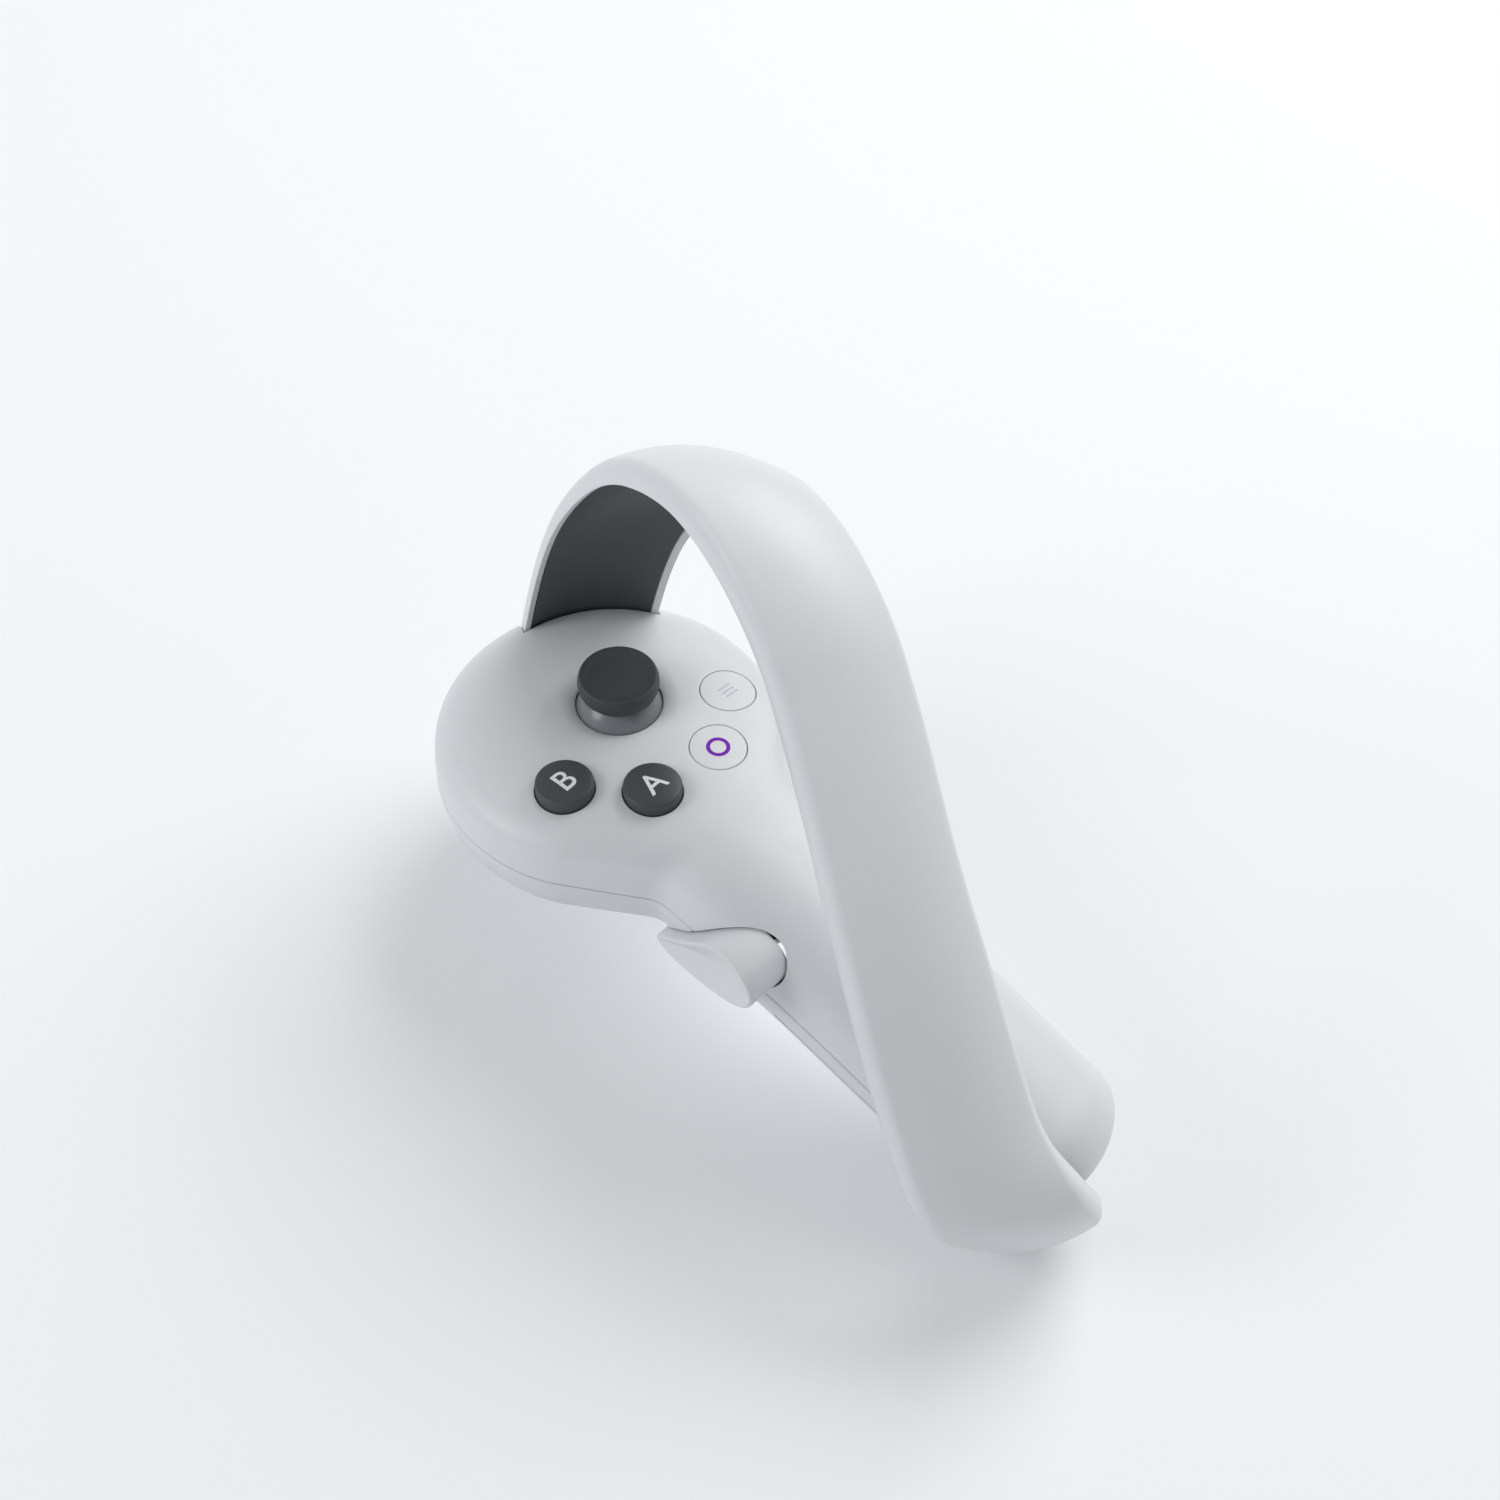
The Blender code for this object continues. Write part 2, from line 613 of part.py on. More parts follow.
def ring_foot_middle():
    """The middle of the tab that ties the ring's root to the upper shell."""
    outward = Vector(RING_PATH[0][:2]) - Vector(SPINE[0][:2])
    x, y = Vector(SPINE[0][:2]) + outward.normalized() * (HEAD_RADIUS - RING_DEPTH - 3.4)
    return Vector((x, y, RING_PATH[0][2] + 4.2))


def ring_end_boss():
    """Start and end of the stub that ties the ring's lower end to the pommel."""
    return Vector(RING_PATH[-2][:3]), handle_point(*RING_BOSS_END)


def make_ring(frame):
    solid = band_section(RING_WIDTH, 0.0, RING_DEPTH, 1.6)
    total = ring_length()
    tip = RING_TIP / total

    def rounded(share):
        over = max(0.0, share - (1 - tip)) / tip
        squeeze = max(math.sqrt(1 - min(over, 0.985) ** 2), 0.1)
        return [(a * squeeze, depth) for a, depth in solid]

    shares = ring_shares(RING_GAP / total, 1 - tip) + [1 - tip * f for f in (0.6, 0.35, 0.15, 0.0)]
    ring = swept_band("ring_outer_shell", rounded, shares, "shell_white", frame)
    channel = RING_WIDTH - 2 * RING_RIM
    inside = flat_section(channel, RING_FACE, RING_DEPTH + 3)
    pommel = skin("pommel_guide", FULL_SKIN, "inner_black", frame, inset=-GAP, handle_only=True)
    combine(ring, pommel)
    foot = ring_foot_middle()
    outward = Vector(RING_PATH[0][:2]) - Vector(SPINE[0][:2])
    outward = Vector((*outward.normalized(), 0))
    tab = block("ring_foot_tab", foot + outward * 2.2, (13.0, 9.4, RING_FOOT), "shell_white", frame,
                axes=(outward.cross(UP), outward, UP))
    combine(ring, tab, "UNION")
    combine(ring, rod("ring_foot_hole", foot - UP * 3, foot + UP * 3, SCREW_SHANK + GAP, "inner_black",
                      frame, 10))
    start, stop = ring_end_boss()
    combine(ring, rod("ring_end_stub", start + (stop - start).normalized() * 3.0, stop, RING_BOSS,
                      "shell_white", frame), "UNION")
    combine(ring, swept_band("ring_channel", lambda _: inside, ring_shares(0.03, 1 - 1.6 * tip),
                             "inner_black", frame))

    # The pieces in the channel
    near = RING_DEPTH - LINER_THICK - 0.15
    liner = flat_section(channel - 2 * GAP, near, near + LINER_THICK)
    seam = GAP / total
    swept_band("ring_liner_dark", lambda _: liner, ring_shares(0.03 + seam, LINER_SPLIT), "liner_dark",
               frame)
    light = swept_band("ring_liner_light", lambda _: liner, ring_shares(LINER_SPLIT + seam, LINER_LAST),
                       "shell_white", frame)
    combine(light, pommel)
    near = RING_FACE + GAP
    pitch = (LINER_SPLIT - 0.06) / LED_COUNT
    first, half = 0.045, LED_HALF / total
    middles = [first + (i + 0.5) * pitch for i in range(LED_COUNT)]
    shares = ring_shares(first, first + LED_COUNT * pitch)
    for middle in middles:
        shares += [middle - half * 1.05, middle - half, middle + half, middle + half * 1.05]

    def strip(share):
        raised = any(abs(share - middle) < half * 1.02 for middle in middles)
        return flat_section(12.0, near, near + (0.9 if raised else 0.3))

    swept_band("ring_led_strip", strip, sorted(shares), "board_green", frame)


def make_board(frame):
    disc = [(BOARD_RADIUS * math.cos(math.tau * i / 48), BOARD_RADIUS * math.sin(math.tau * i / 48))
            for i in range(48)]
    board = prism("main_board", disc, (*SPINE[0][:2], BOARD_TOP), SIDE, AHEAD, UP, -BOARD_THICK, 0,
                  "board_green", frame)
    for i, (x, y, _) in enumerate(screw_places()[:len(BOSS_ANGLES)]):
        combine(board, rod(f"board_notch_{i}", (x, y, BOARD_TOP - 3), (x, y, BOARD_TOP + 3),
                           BOSS_RADIUS + 0.5, "inner_black", frame))
    for name, (x, y, _, _) in BUTTONS.items():
        switch(name.replace("_button", "").replace("button_", "") + "_switch", x, y, BOARD_TOP, frame)


def switch(name, x, y, floor, parent):
    """A tact switch: a square can with a round plunger."""
    base = floor + 0.3
    top = base + SWITCH_HEIGHT
    can = block(name, (x, y, (base + top - 0.5) / 2), (SWITCH_SIZE, SWITCH_SIZE, SWITCH_HEIGHT - 0.5),
                "nickel", parent)
    combine(can, rod(f"{name}_plunger", (x, y, base + 0.5), (x, y, top), SWITCH_SIZE * 0.26, "nickel",
                     parent, 12), "UNION")


def make_buttons(frame, pivots):
    skin_solid = skin("button_skin_guide", FULL_SKIN, "inner_black", frame)
    skin_solid.hide_render = True
    skin_solid.display_type = "WIRE"
    switch_top = BOARD_TOP + 0.3 + SWITCH_HEIGHT
    for name, (x, y, radius, travel) in BUTTONS.items():
        foot = switch_top + travel + 0.3
        raised = name in ("button_a", "button_b")
        wide = radius + BUTTON_FLANGE
        flange = roof_height(x, y, wide) - 0.5 - FLANGE_THICK
        lower = [(0, foot), (2.0, foot), (2.0, flange), (wide, flange), (wide, flange + FLANGE_THICK),
                 (radius, flange + FLANGE_THICK)]
        if raised:
            upper = [(radius, BUTTON_RISE - 0.9), (radius - 0.2, BUTTON_RISE - 0.35),
                     (radius - 0.8, BUTTON_RISE), (radius * 0.5, BUTTON_RISE + 0.2),
                     (0, BUTTON_RISE + 0.25)]
        else:
            upper = [(radius, 3), (0, 3)]
        finish = "cap_dark" if raised else "shell_white"
        cap = turned(name, (x, y, 0), UP, lower + upper, finish, pivots[name], steps=24)
        if not raised:
            combine(cap, skin_solid, "INTERSECT")


def make_stick(frame, tilt_x, tilt_y, click):
    x, y = STICK
    floor = BOARD_TOP + 0.3
    cup = ((0, floor), (STICK_CUP, floor), (STICK_CUP, STICK_PIVOT + 2.6), (STICK_CUP - 1.8, STICK_PIVOT + 2.6),
           (STICK_CUP - 1.8, floor + 1), (0, floor + 1))
    turned("stick_cup", (x, y, 0), UP, cup, "inner_black", frame, steps=32)
    turned("stick_click_switch", (x, y, floor + 1.3), UP, ((0, 0), (1.7, 0), (1.7, 0.8), (0, 0.9)),
           "nickel", frame, 16)
    pivot = Vector((x, y, STICK_PIVOT))
    outer, inner = STICK_CUP - 3.4, STICK_CUP - 5.1
    gimbal = ((inner, -1), (outer, -1), (outer, 1), (inner, 1), (inner, -1))
    ring = turned("stick_gimbal", pivot, UP, gimbal, "steel", tilt_x, 28)
    for side in (-1, 1):
        combine(ring, rod(f"gimbal_trunnion_{side}", pivot + SIDE * side * (outer - 0.6),
                          pivot + SIDE * side * (STICK_CUP - 2.1), 0.8, "steel", tilt_x, 10), "UNION")
    bore = STICK_STEM + 0.4
    hub = ((bore, -1.6), (3.4, -1.2), (3.4, 1.2), (bore, 1.6), (bore, -1.6))
    middle = turned("stick_hub", pivot, UP, hub, "nickel", tilt_y, 20)
    for side in (-1, 1):
        combine(middle, rod(f"hub_trunnion_{side}", pivot + AHEAD * side * 3.0,
                            pivot + AHEAD * side * (inner - 0.35), 0.7, "nickel", tilt_y, 10), "UNION")
    rod("stick_stem", pivot - UP * 4.9, (x, y, STICK_CAP_TOP - 1.9), STICK_STEM, "steel", click, 16)
    r, top = STICK_CAP_RADIUS, STICK_CAP_TOP
    low = top - STICK_CAP_THICK - 0.5

    def arc(radius, turns):
        return [(radius * math.sin(math.radians(a)), radius * math.cos(math.radians(a))) for a in turns]

    head = low - STICK_PIVOT - 0.1
    last = math.degrees(math.acos(head / STICK_DOME))
    rim = math.degrees(math.asin(bore / (STICK_DOME - 1)))
    outside = arc(STICK_DOME, [67 - (67 - last) * i / 6 for i in range(7)])
    inside = arc(STICK_DOME - 1, [rim + (65 - rim) * i / 5 for i in range(6)])
    skirt = outside + [(bore, head)] + inside + outside[:1]
    turned("stick_skirt", pivot, UP, skirt, "stem_grey", click, 28)
    cap = ((0, top - 1.5), (bore, top - 1.5), (bore, low), (r * 0.72, low), (r * 0.92, low + 0.7),
           (r, low + 1.6), (r, top - 1.2), (r * 0.96, top - 0.4), (r * 0.9, top), (r * 0.84, top - 0.1),
           (r * 0.72, top - 0.6), (0, top - 0.6))
    turned("stick_cap", (x, y, 0), UP, cap, "cap_dark", click, 24)


def make_trigger(frame, pivot):
    half = TRIGGER_WIDTH / 2
    y, z = TRIGGER_PIVOT
    blade = prism("index_trigger", TRIGGER_OUTLINE, (TRIGGER_X, 0, 0), AHEAD, UP, SIDE, -half, half,
                  "shell_white", pivot)
    ease = blade.modifiers.new("eased_edges", "BEVEL")
    ease.width = 1.6 * MM
    ease.segments = 2
    ease.limit_method = "ANGLE"
    ease.angle_limit = math.radians(60)
    combine(blade, rod("trigger_bore", (TRIGGER_X - 12, y, z), (TRIGGER_X + 12, y, z), TRIGGER_PIN + 0.3,
                       "inner_black", frame))
    reach = TRIGGER_EAR + 2.4
    rod("trigger_pin", (TRIGGER_X - reach, y, z), (TRIGGER_X + reach, y, z), TRIGGER_PIN, "steel", frame)
    coil("trigger_spring", (TRIGGER_X + half + 0.5, y, z), SIDE, TRIGGER_PIN + 0.55, 0.25, 2, 0.7, "steel",
         frame)
    spot = Vector((TRIGGER_X + half, y + 6.5, z + 0.4))
    combine(blade, rod("magnet_pocket", spot - SIDE * 3.6, spot + SIDE * 2, 1.5 + GAP, "inner_black",
                       frame, 12))
    rod("trigger_magnet", spot - SIDE * 3.2, spot - SIDE * 0.4, 1.5, "magnet", pivot, 12)


def make_grip(frame, pivot):
    tip, rear = GRIP_OUTLINE[0][0], min(y for y, _ in GRIP_OUTLINE)

    def face(y):
        share = min(max((tip - y) / (tip - rear), 0.0), 1.0)
        return GRIP_FACE_TIP + (GRIP_FACE_REAR - GRIP_FACE_TIP) * share ** 0.8

    edge = grown(GRIP_OUTLINE, -0.9)
    points = [(GRIP_INNER, y, z) for y, z in GRIP_OUTLINE]
    points += [(face(y) + 1.2, y, z) for y, z in GRIP_OUTLINE]
    points += [(face(y), y, z) for y, z in edge]
    paddle = place("grip_paddle", points, tube_faces(3, len(GRIP_OUTLINE)), "shell_white", pivot)
    x, y = GRIP_PIVOT
    low = min(z for _, z in GRIP_OUTLINE)
    combine(paddle, rod("grip_bore", (x, y, low - 5), (x, y, 0), GRIP_PIN + 0.3, "inner_black", frame, 12))
    rod("grip_pin", (x, y, low + 2.2), (x, y, GRIP_SHELF[1] + 3.0), GRIP_PIN, "steel", frame, 12)
    coil("grip_spring", (x, y, GRIP_SHELF[1] + 0.6), UP, GRIP_PIN + 0.6, 0.25, 2, 0.8, "steel", frame)


def make_power(frame):
    floor = CELL_RADIUS + 0.7
    front, back = CELL_START - 1.2, CELL_START + CELL_LENGTH + 2.4
    walls = ((front - 1.2, floor + 1.2), (front - 1.2, -5.5), (front, -5.5), (front, floor),
             (back, floor), (back, -5.5), (back + 1.2, -5.5), (back + 1.2, floor + 1.2))
    start, along, right, up = handle_axes()
    prism("battery_tray", walls, start, along, up, right, -TRAY_HALF, TRAY_HALF, "inner_black", frame)
    offset = CELL_RADIUS + GAP / 2
    for name, side in (("battery_cell_left", -1), ("battery_cell_right", 1)):
        r = CELL_RADIUS
        length = CELL_LENGTH
        profile = [(0, 0), (r - 0.6, 0), (r, 0.5), (r, length - 1.6), (r - 0.6, length - 1.1),
                   (2.75, length - 1.1), (2.75, length), (0, length)]
        if side > 0:
            profile = [(a, length - b) for a, b in reversed(profile)]
        turned(name, handle_point(CELL_START, side * offset, 0), along, profile, "cell_jacket", frame, 24)
    for name, plate, bump in (("contact_front", front + GAP, CELL_START - GAP),
                              ("contact_rear", back - GAP, CELL_START + CELL_LENGTH + GAP)):
        away = 1 if bump > plate else -1
        sheet = handle_block(name, (min(plate, plate + away * 0.3), -8.6, -4.5),
                             (max(plate, plate + away * 0.3), 8.6, 5.5), "nickel", frame)
        for side in (-1, 1):
            nub = rod(f"{name}_nub_{side}", handle_point(plate + away * 0.1, side * offset, 0),
                      handle_point(bump, side * offset, 0), 1.0, "nickel", frame, 10)
            combine(sheet, nub, "UNION")


def make_fasteners(frame):
    for i, (x, y, seam) in enumerate(screw_places()):
        screw(f"case_screw_{i + 1}", (x, y, seam - 3.2 - GAP), UP, 7.6, frame)
    foot = ring_foot_middle()
    screw("ring_foot_screw", foot - UP * (RING_FOOT / 2 + GAP), UP, 5.6, frame)


def main():
    clear_scene()
    frame = add_empty("controller_frame")
    pivots = {name: add_empty(f"{name}_slide", (x, y, BUTTON_RISE), frame)
              for name, (x, y, _, _) in BUTTONS.items()}
    stick = (*STICK, STICK_PIVOT)
    tilt_x = add_empty("stick_tilt_x", stick, frame)
    tilt_y = add_empty("stick_tilt_y", stick, frame)
    click = add_empty("stick_click", stick, frame)
    trigger = add_empty("trigger_pull", (TRIGGER_X, *TRIGGER_PIVOT), frame)
    grip = add_empty("grip_squeeze", (*GRIP_PIVOT, GRIP_SHELF[0]), frame)
    cover = add_empty("cover_release", handle_point((COVER_START + COVER_END) / 2, 0, COVER_EDGE), frame)
    make_shells(frame, cover)
    make_ring(frame)
    make_board(frame)
    make_buttons(frame, pivots)
    make_stick(frame, tilt_x, tilt_y, click)
    make_trigger(frame, trigger)
    make_grip(frame, grip)
    make_power(frame)
    turned("haptic_motor", (SPINE[3][0] - 6.5, SPINE[3][1] + 3.0, SPINE[3][2] - 1.8), SIDE,
           ((0, 0), (4.5, 0), (5, 0.5), (5, 12.5), (4.5, 13), (0, 13)), "nickel", frame, 20)
    make_fasteners(frame)
    stand(frame)


def stand(frame):
    """Leans the whole controller and puts the middle of its underside's box at the origin."""
    frame.rotation_euler = (math.radians(REST_TILT), 0, 0)
    bpy.context.view_layer.update()
    depsgraph = bpy.context.evaluated_depsgraph_get()
    low, high = Vector((9, 9, 9)), Vector((-9, -9, -9))
    for item in bpy.context.scene.objects:
        if item.type != "MESH" or item.hide_render:
            continue
        solid = item.evaluated_get(depsgraph)
        for corner in solid.data.vertices:
            spot = solid.matrix_world @ corner.co
            low = Vector(map(min, low, spot))
            high = Vector(map(max, high, spot))
    middle = (low + high) / 2
    frame.location = -Vector((middle.x, middle.y, low.z))
    bpy.context.view_layer.update()


main()
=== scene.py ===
import json
import math

import bmesh
import bpy
import numpy as np
from mathutils import Matrix, Vector
from mathutils.bvhtree import BVHTree


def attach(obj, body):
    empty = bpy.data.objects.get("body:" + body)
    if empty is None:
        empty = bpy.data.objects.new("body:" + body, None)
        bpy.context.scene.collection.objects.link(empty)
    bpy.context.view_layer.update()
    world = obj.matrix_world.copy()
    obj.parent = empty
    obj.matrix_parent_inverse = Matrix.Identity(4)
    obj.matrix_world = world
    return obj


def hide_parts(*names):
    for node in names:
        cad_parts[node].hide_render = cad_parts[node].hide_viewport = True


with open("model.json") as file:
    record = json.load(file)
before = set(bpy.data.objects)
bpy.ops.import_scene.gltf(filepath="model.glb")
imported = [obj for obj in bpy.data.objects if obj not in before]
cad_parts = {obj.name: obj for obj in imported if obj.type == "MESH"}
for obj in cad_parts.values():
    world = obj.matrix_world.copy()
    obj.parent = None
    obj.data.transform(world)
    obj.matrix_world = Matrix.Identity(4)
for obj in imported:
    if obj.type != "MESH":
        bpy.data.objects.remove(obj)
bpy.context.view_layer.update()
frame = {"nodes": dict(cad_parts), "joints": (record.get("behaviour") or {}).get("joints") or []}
print("frame loaded with", len(frame["nodes"]), "nodes")

# The design frame is in millimetres: x to the right over the control face, y to the front, z out of it.
stance = {"lean": -8.5, "stickPivot": (9.9, 9.7, -5.0)}

jointPlace = {joint["name"]: Vector(joint["pos_m"]) for joint in frame["joints"] if "pos_m" in joint}
leanTurn = Matrix.Rotation(math.radians(stance["lean"]), 4, "X")
leanShift = jointPlace["stick_tilt_x"] - leanTurn @ (Vector(stance["stickPivot"]) * 0.001)
toRow = Matrix.Translation(leanShift) @ leanTurn @ Matrix.Scale(0.001, 4)
toRowArray = np.array(toRow)

upAxis = np.array((0.0, 0.0, 1.0))
sideAxis = np.array((1.0, 0.0, 0.0))
aheadAxis = np.array((0.0, 1.0, 0.0))


def rowPoints(points):
    points = np.asarray(points, float)
    return points @ toRowArray[:3, :3].T + toRowArray[:3, 3]


def unit(vector):
    vector = np.asarray(vector, float)
    return vector / np.linalg.norm(vector)


def smoothPath(rows):
    # a curve through rows of numbers, read by its share of the way along
    rows = np.array(rows, float)
    places = np.concatenate(([0.0], np.cumsum(np.linalg.norm(np.diff(rows[:, :3], axis=0), axis=1))))
    order = np.arange(len(rows))
    low, high = np.maximum(order - 1, 0), np.minimum(order + 1, len(rows) - 1)
    slopes = (rows[high] - rows[low]) / (places[high] - places[low])[:, None]

    def at(share):
        want = share * places[-1]
        i = min(int(np.searchsorted(places, want + 1e-9, side="right")) - 1, len(rows) - 2)
        span = places[i + 1] - places[i]
        t = (want - places[i]) / span
        rise = 3 * t * t - 2 * t ** 3
        return (rows[i] * (1 - rise) + rows[i + 1] * rise
                + slopes[i] * span * (t ** 3 - 2 * t * t + t) + slopes[i + 1] * span * (t ** 3 - t * t))

    at.length = places[-1]
    return at


def smoothLoop(corners, count):
    # a closed curve through flat corners
    corners = np.array(corners, float)
    total = len(corners)
    result = []
    for i in range(total):
        before, here, after, beyond = (corners[(i + k) % total] for k in (-1, 0, 1, 2))
        for step in range(count):
            t = step / count
            slopeA, slopeB = (after - before) * 0.5, (beyond - here) * 0.5
            rise = 3 * t * t - 2 * t ** 3
            result.append(here * (1 - rise) + after * rise + slopeA * (t ** 3 - 2 * t * t + t)
                          + slopeB * (t ** 3 - t * t))
    return np.array(result)


def grownLoop(loop, amount):
    # the loop moved outwards by amount
    area = np.sum(loop[:, 0] * np.roll(loop[:, 1], -1) - np.roll(loop[:, 0], -1) * loop[:, 1])
    along = np.roll(loop, -1, axis=0) - np.roll(loop, 1, axis=0)
    along /= np.linalg.norm(along, axis=1)[:, None]
    outward = np.stack((along[:, 1], -along[:, 0]), axis=1) * np.sign(area)
    return loop + outward * amount


def ringFaces(rings, count, capStart=False, capEnd=False):
    faces = []
    for low in range(0, (rings - 1) * count, count):
        high = low + count
        for j in range(count):
            after = (j + 1) % count
            faces.append((low + j, low + after, high + after, high + j))
    if capStart:
        faces.append(tuple(reversed(range(count))))
    if capEnd:
        faces.append(tuple(range((rings - 1) * count, rings * count)))
    return faces


def placed(name, data):
    made = bpy.data.objects.new(name, data)
    bpy.context.scene.collection.objects.link(made)
    return made


def meshObject(name, points, faces, finish=None, sharp=32):
    mesh = bpy.data.meshes.new(name)
    mesh.from_pydata([tuple(p) for p in rowPoints(points)], [], faces)
    tidyMesh(mesh, sharp)
    if finish:
        mesh.materials.append(finish)
    return placed(name, mesh)


def lofted(name, rows, finish=None, sharp=32, capped=True):
    # one skin over rows of points; without caps the last row meets the first
    faces = ringFaces(len(rows), len(rows[0]), capped, capped)
    return meshObject(name, np.concatenate(rows), faces, finish, sharp)


def tidyMesh(mesh, sharp=32, merge=1e-6, thin=1e-7, facing=True):
    shape = bmesh.new()
    shape.from_mesh(mesh)
    bmesh.ops.remove_doubles(shape, verts=shape.verts, dist=merge)
    bmesh.ops.dissolve_degenerate(shape, edges=shape.edges, dist=thin)
    if facing:
        bmesh.ops.recalc_face_normals(shape, faces=shape.faces)
    shape.to_mesh(mesh)
    shape.free()
    mesh.shade_smooth()
    mesh.set_sharp_from_angle(angle=math.radians(sharp))


def turned(name, foot, axis, profile, finish=None, steps=96, sharp=32):
    # a turned solid: profile holds (radius, height) from foot along axis
    axis = unit(axis)
    side = unit(np.cross(axis, aheadAxis if abs(axis[1]) < 0.9 else sideAxis))
    other = np.cross(axis, side)
    turns = np.arange(steps) * math.tau / steps
    around = np.cos(turns)[:, None] * side + np.sin(turns)[:, None] * other
    points = np.concatenate([np.asarray(foot, float) + axis * h + around * r for r, h in profile])
    closed = profile[0] == profile[-1]
    return meshObject(name, points, ringFaces(len(profile), steps, not closed, not closed), finish, sharp)


def eased(corners, radius, steps=5):
    # an open profile with its inner corners rounded; radius may be a list, one for each corner
    corners = [np.array(c, float) for c in corners]
    radii = radius if isinstance(radius, (list, tuple)) else [radius] * len(corners)
    result = [tuple(corners[0])]
    for i in range(1, len(corners) - 1):
        before, here, after = corners[i - 1], corners[i], corners[i + 1]
        reach = min(radii[i], np.linalg.norm(here - before) * 0.49, np.linalg.norm(after - here) * 0.49)
        if reach < 1e-4:
            result.append(tuple(here))
            continue
        start, end = here + unit(before - here) * reach, here + unit(after - here) * reach
        for step in range(steps + 1):
            t = step / steps
            result.append(tuple(start * (1 - t) ** 2 + here * 2 * t * (1 - t) + end * t * t))
    return result + [tuple(corners[-1])]


def drawnSolid(name, loop, origin, across, up, out, near, far, soft, finish=None, sharp=32):
    # a flat loop drawn along out from near to far, with its long edges rounded by soft
    origin, across, up, out = (np.asarray(v, float) for v in (origin, across, up, out))
    stages = [(near + soft * (1 - math.sin(a)), -soft * (1 - math.cos(a)))
              for a in np.linspace(math.pi / 2, 0, 6)] if soft else [(near, 0.0)]
    stages += [(near + far - depth, inset) for depth, inset in reversed(stages)]
    points = []
    for depth, inset in stages:
        flat = grownLoop(loop, inset) if inset else loop
        points.append(origin + out * depth + flat[:, :1] * across + flat[:, 1:] * up)
    return lofted(name, points, finish, sharp)


def boxLoop(width, height, corner=0.0, steps=5):
    a, b = width / 2, height / 2
    if not corner:
        return np.array(((-a, -b), (a, -b), (a, b), (-a, b)), float)
    loop = []
    for cx, cy, start in ((a, b, 0), (-a, b, 90), (-a, -b, 180), (a, -b, 270)):
        for step in range(steps + 1):
            turn = math.radians(start + 90 * step / steps)
            loop.append((cx - math.copysign(corner, cx) + corner * math.cos(turn),
                         cy - math.copysign(corner, cy) + corner * math.sin(turn)))
    return np.array(loop)


def carve(target, cutters, sharp=32):
    # cuts target and leaves it as a plain mesh
    for tool in cutters:
        step = target.modifiers.new(tool.name, "BOOLEAN")
        step.operation, step.solver, step.object = "DIFFERENCE", "EXACT", tool
    settle(target)
    for tool in cutters:
        bpy.data.objects.remove(tool)
    tidyMesh(target.data, sharp, 2e-6, 1e-6, False)
    return target


def settle(target):
    # puts the modifiers' result in the mesh
    bpy.context.view_layer.update()
    solved = bpy.data.meshes.new_from_object(target.evaluated_get(bpy.context.evaluated_depsgraph_get()))
    target.modifiers.clear()
    solved.name = target.name
    target.data = solved
    return target


def blended(name, parts):
    # several meshes as one piece, each keeping its own finish
    shape = bmesh.new()
    finishes = []
    for part in parts:
        finish = part.data.materials[0]
        if finish not in finishes:
            finishes.append(finish)
        first = len(shape.faces)
        shape.from_mesh(part.data)
        shape.faces.ensure_lookup_table()
        for face in shape.faces[first:]:
            face.material_index = finishes.index(finish)
        bpy.data.objects.remove(part)
    mesh = bpy.data.meshes.new(name)
    shape.to_mesh(mesh)
    shape.free()
    for finish in finishes:
        mesh.materials.append(finish)
    return placed(name, mesh)


def fit(piece, body, slot, *nodes):
    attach(piece, body)
    if nodes:
        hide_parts(*nodes)
    return piece


def setUp(node, settings):
    for key, value in (settings or {}).items():
        setattr(node, key, value)


def socketNamed(node, key):
    # i0, i1 and so on by number, all others by name
    if key[0] == "i" and key[1:].isdigit():
        return node.inputs[int(key[1:])]
    return node.inputs[key.replace("_", " ")]


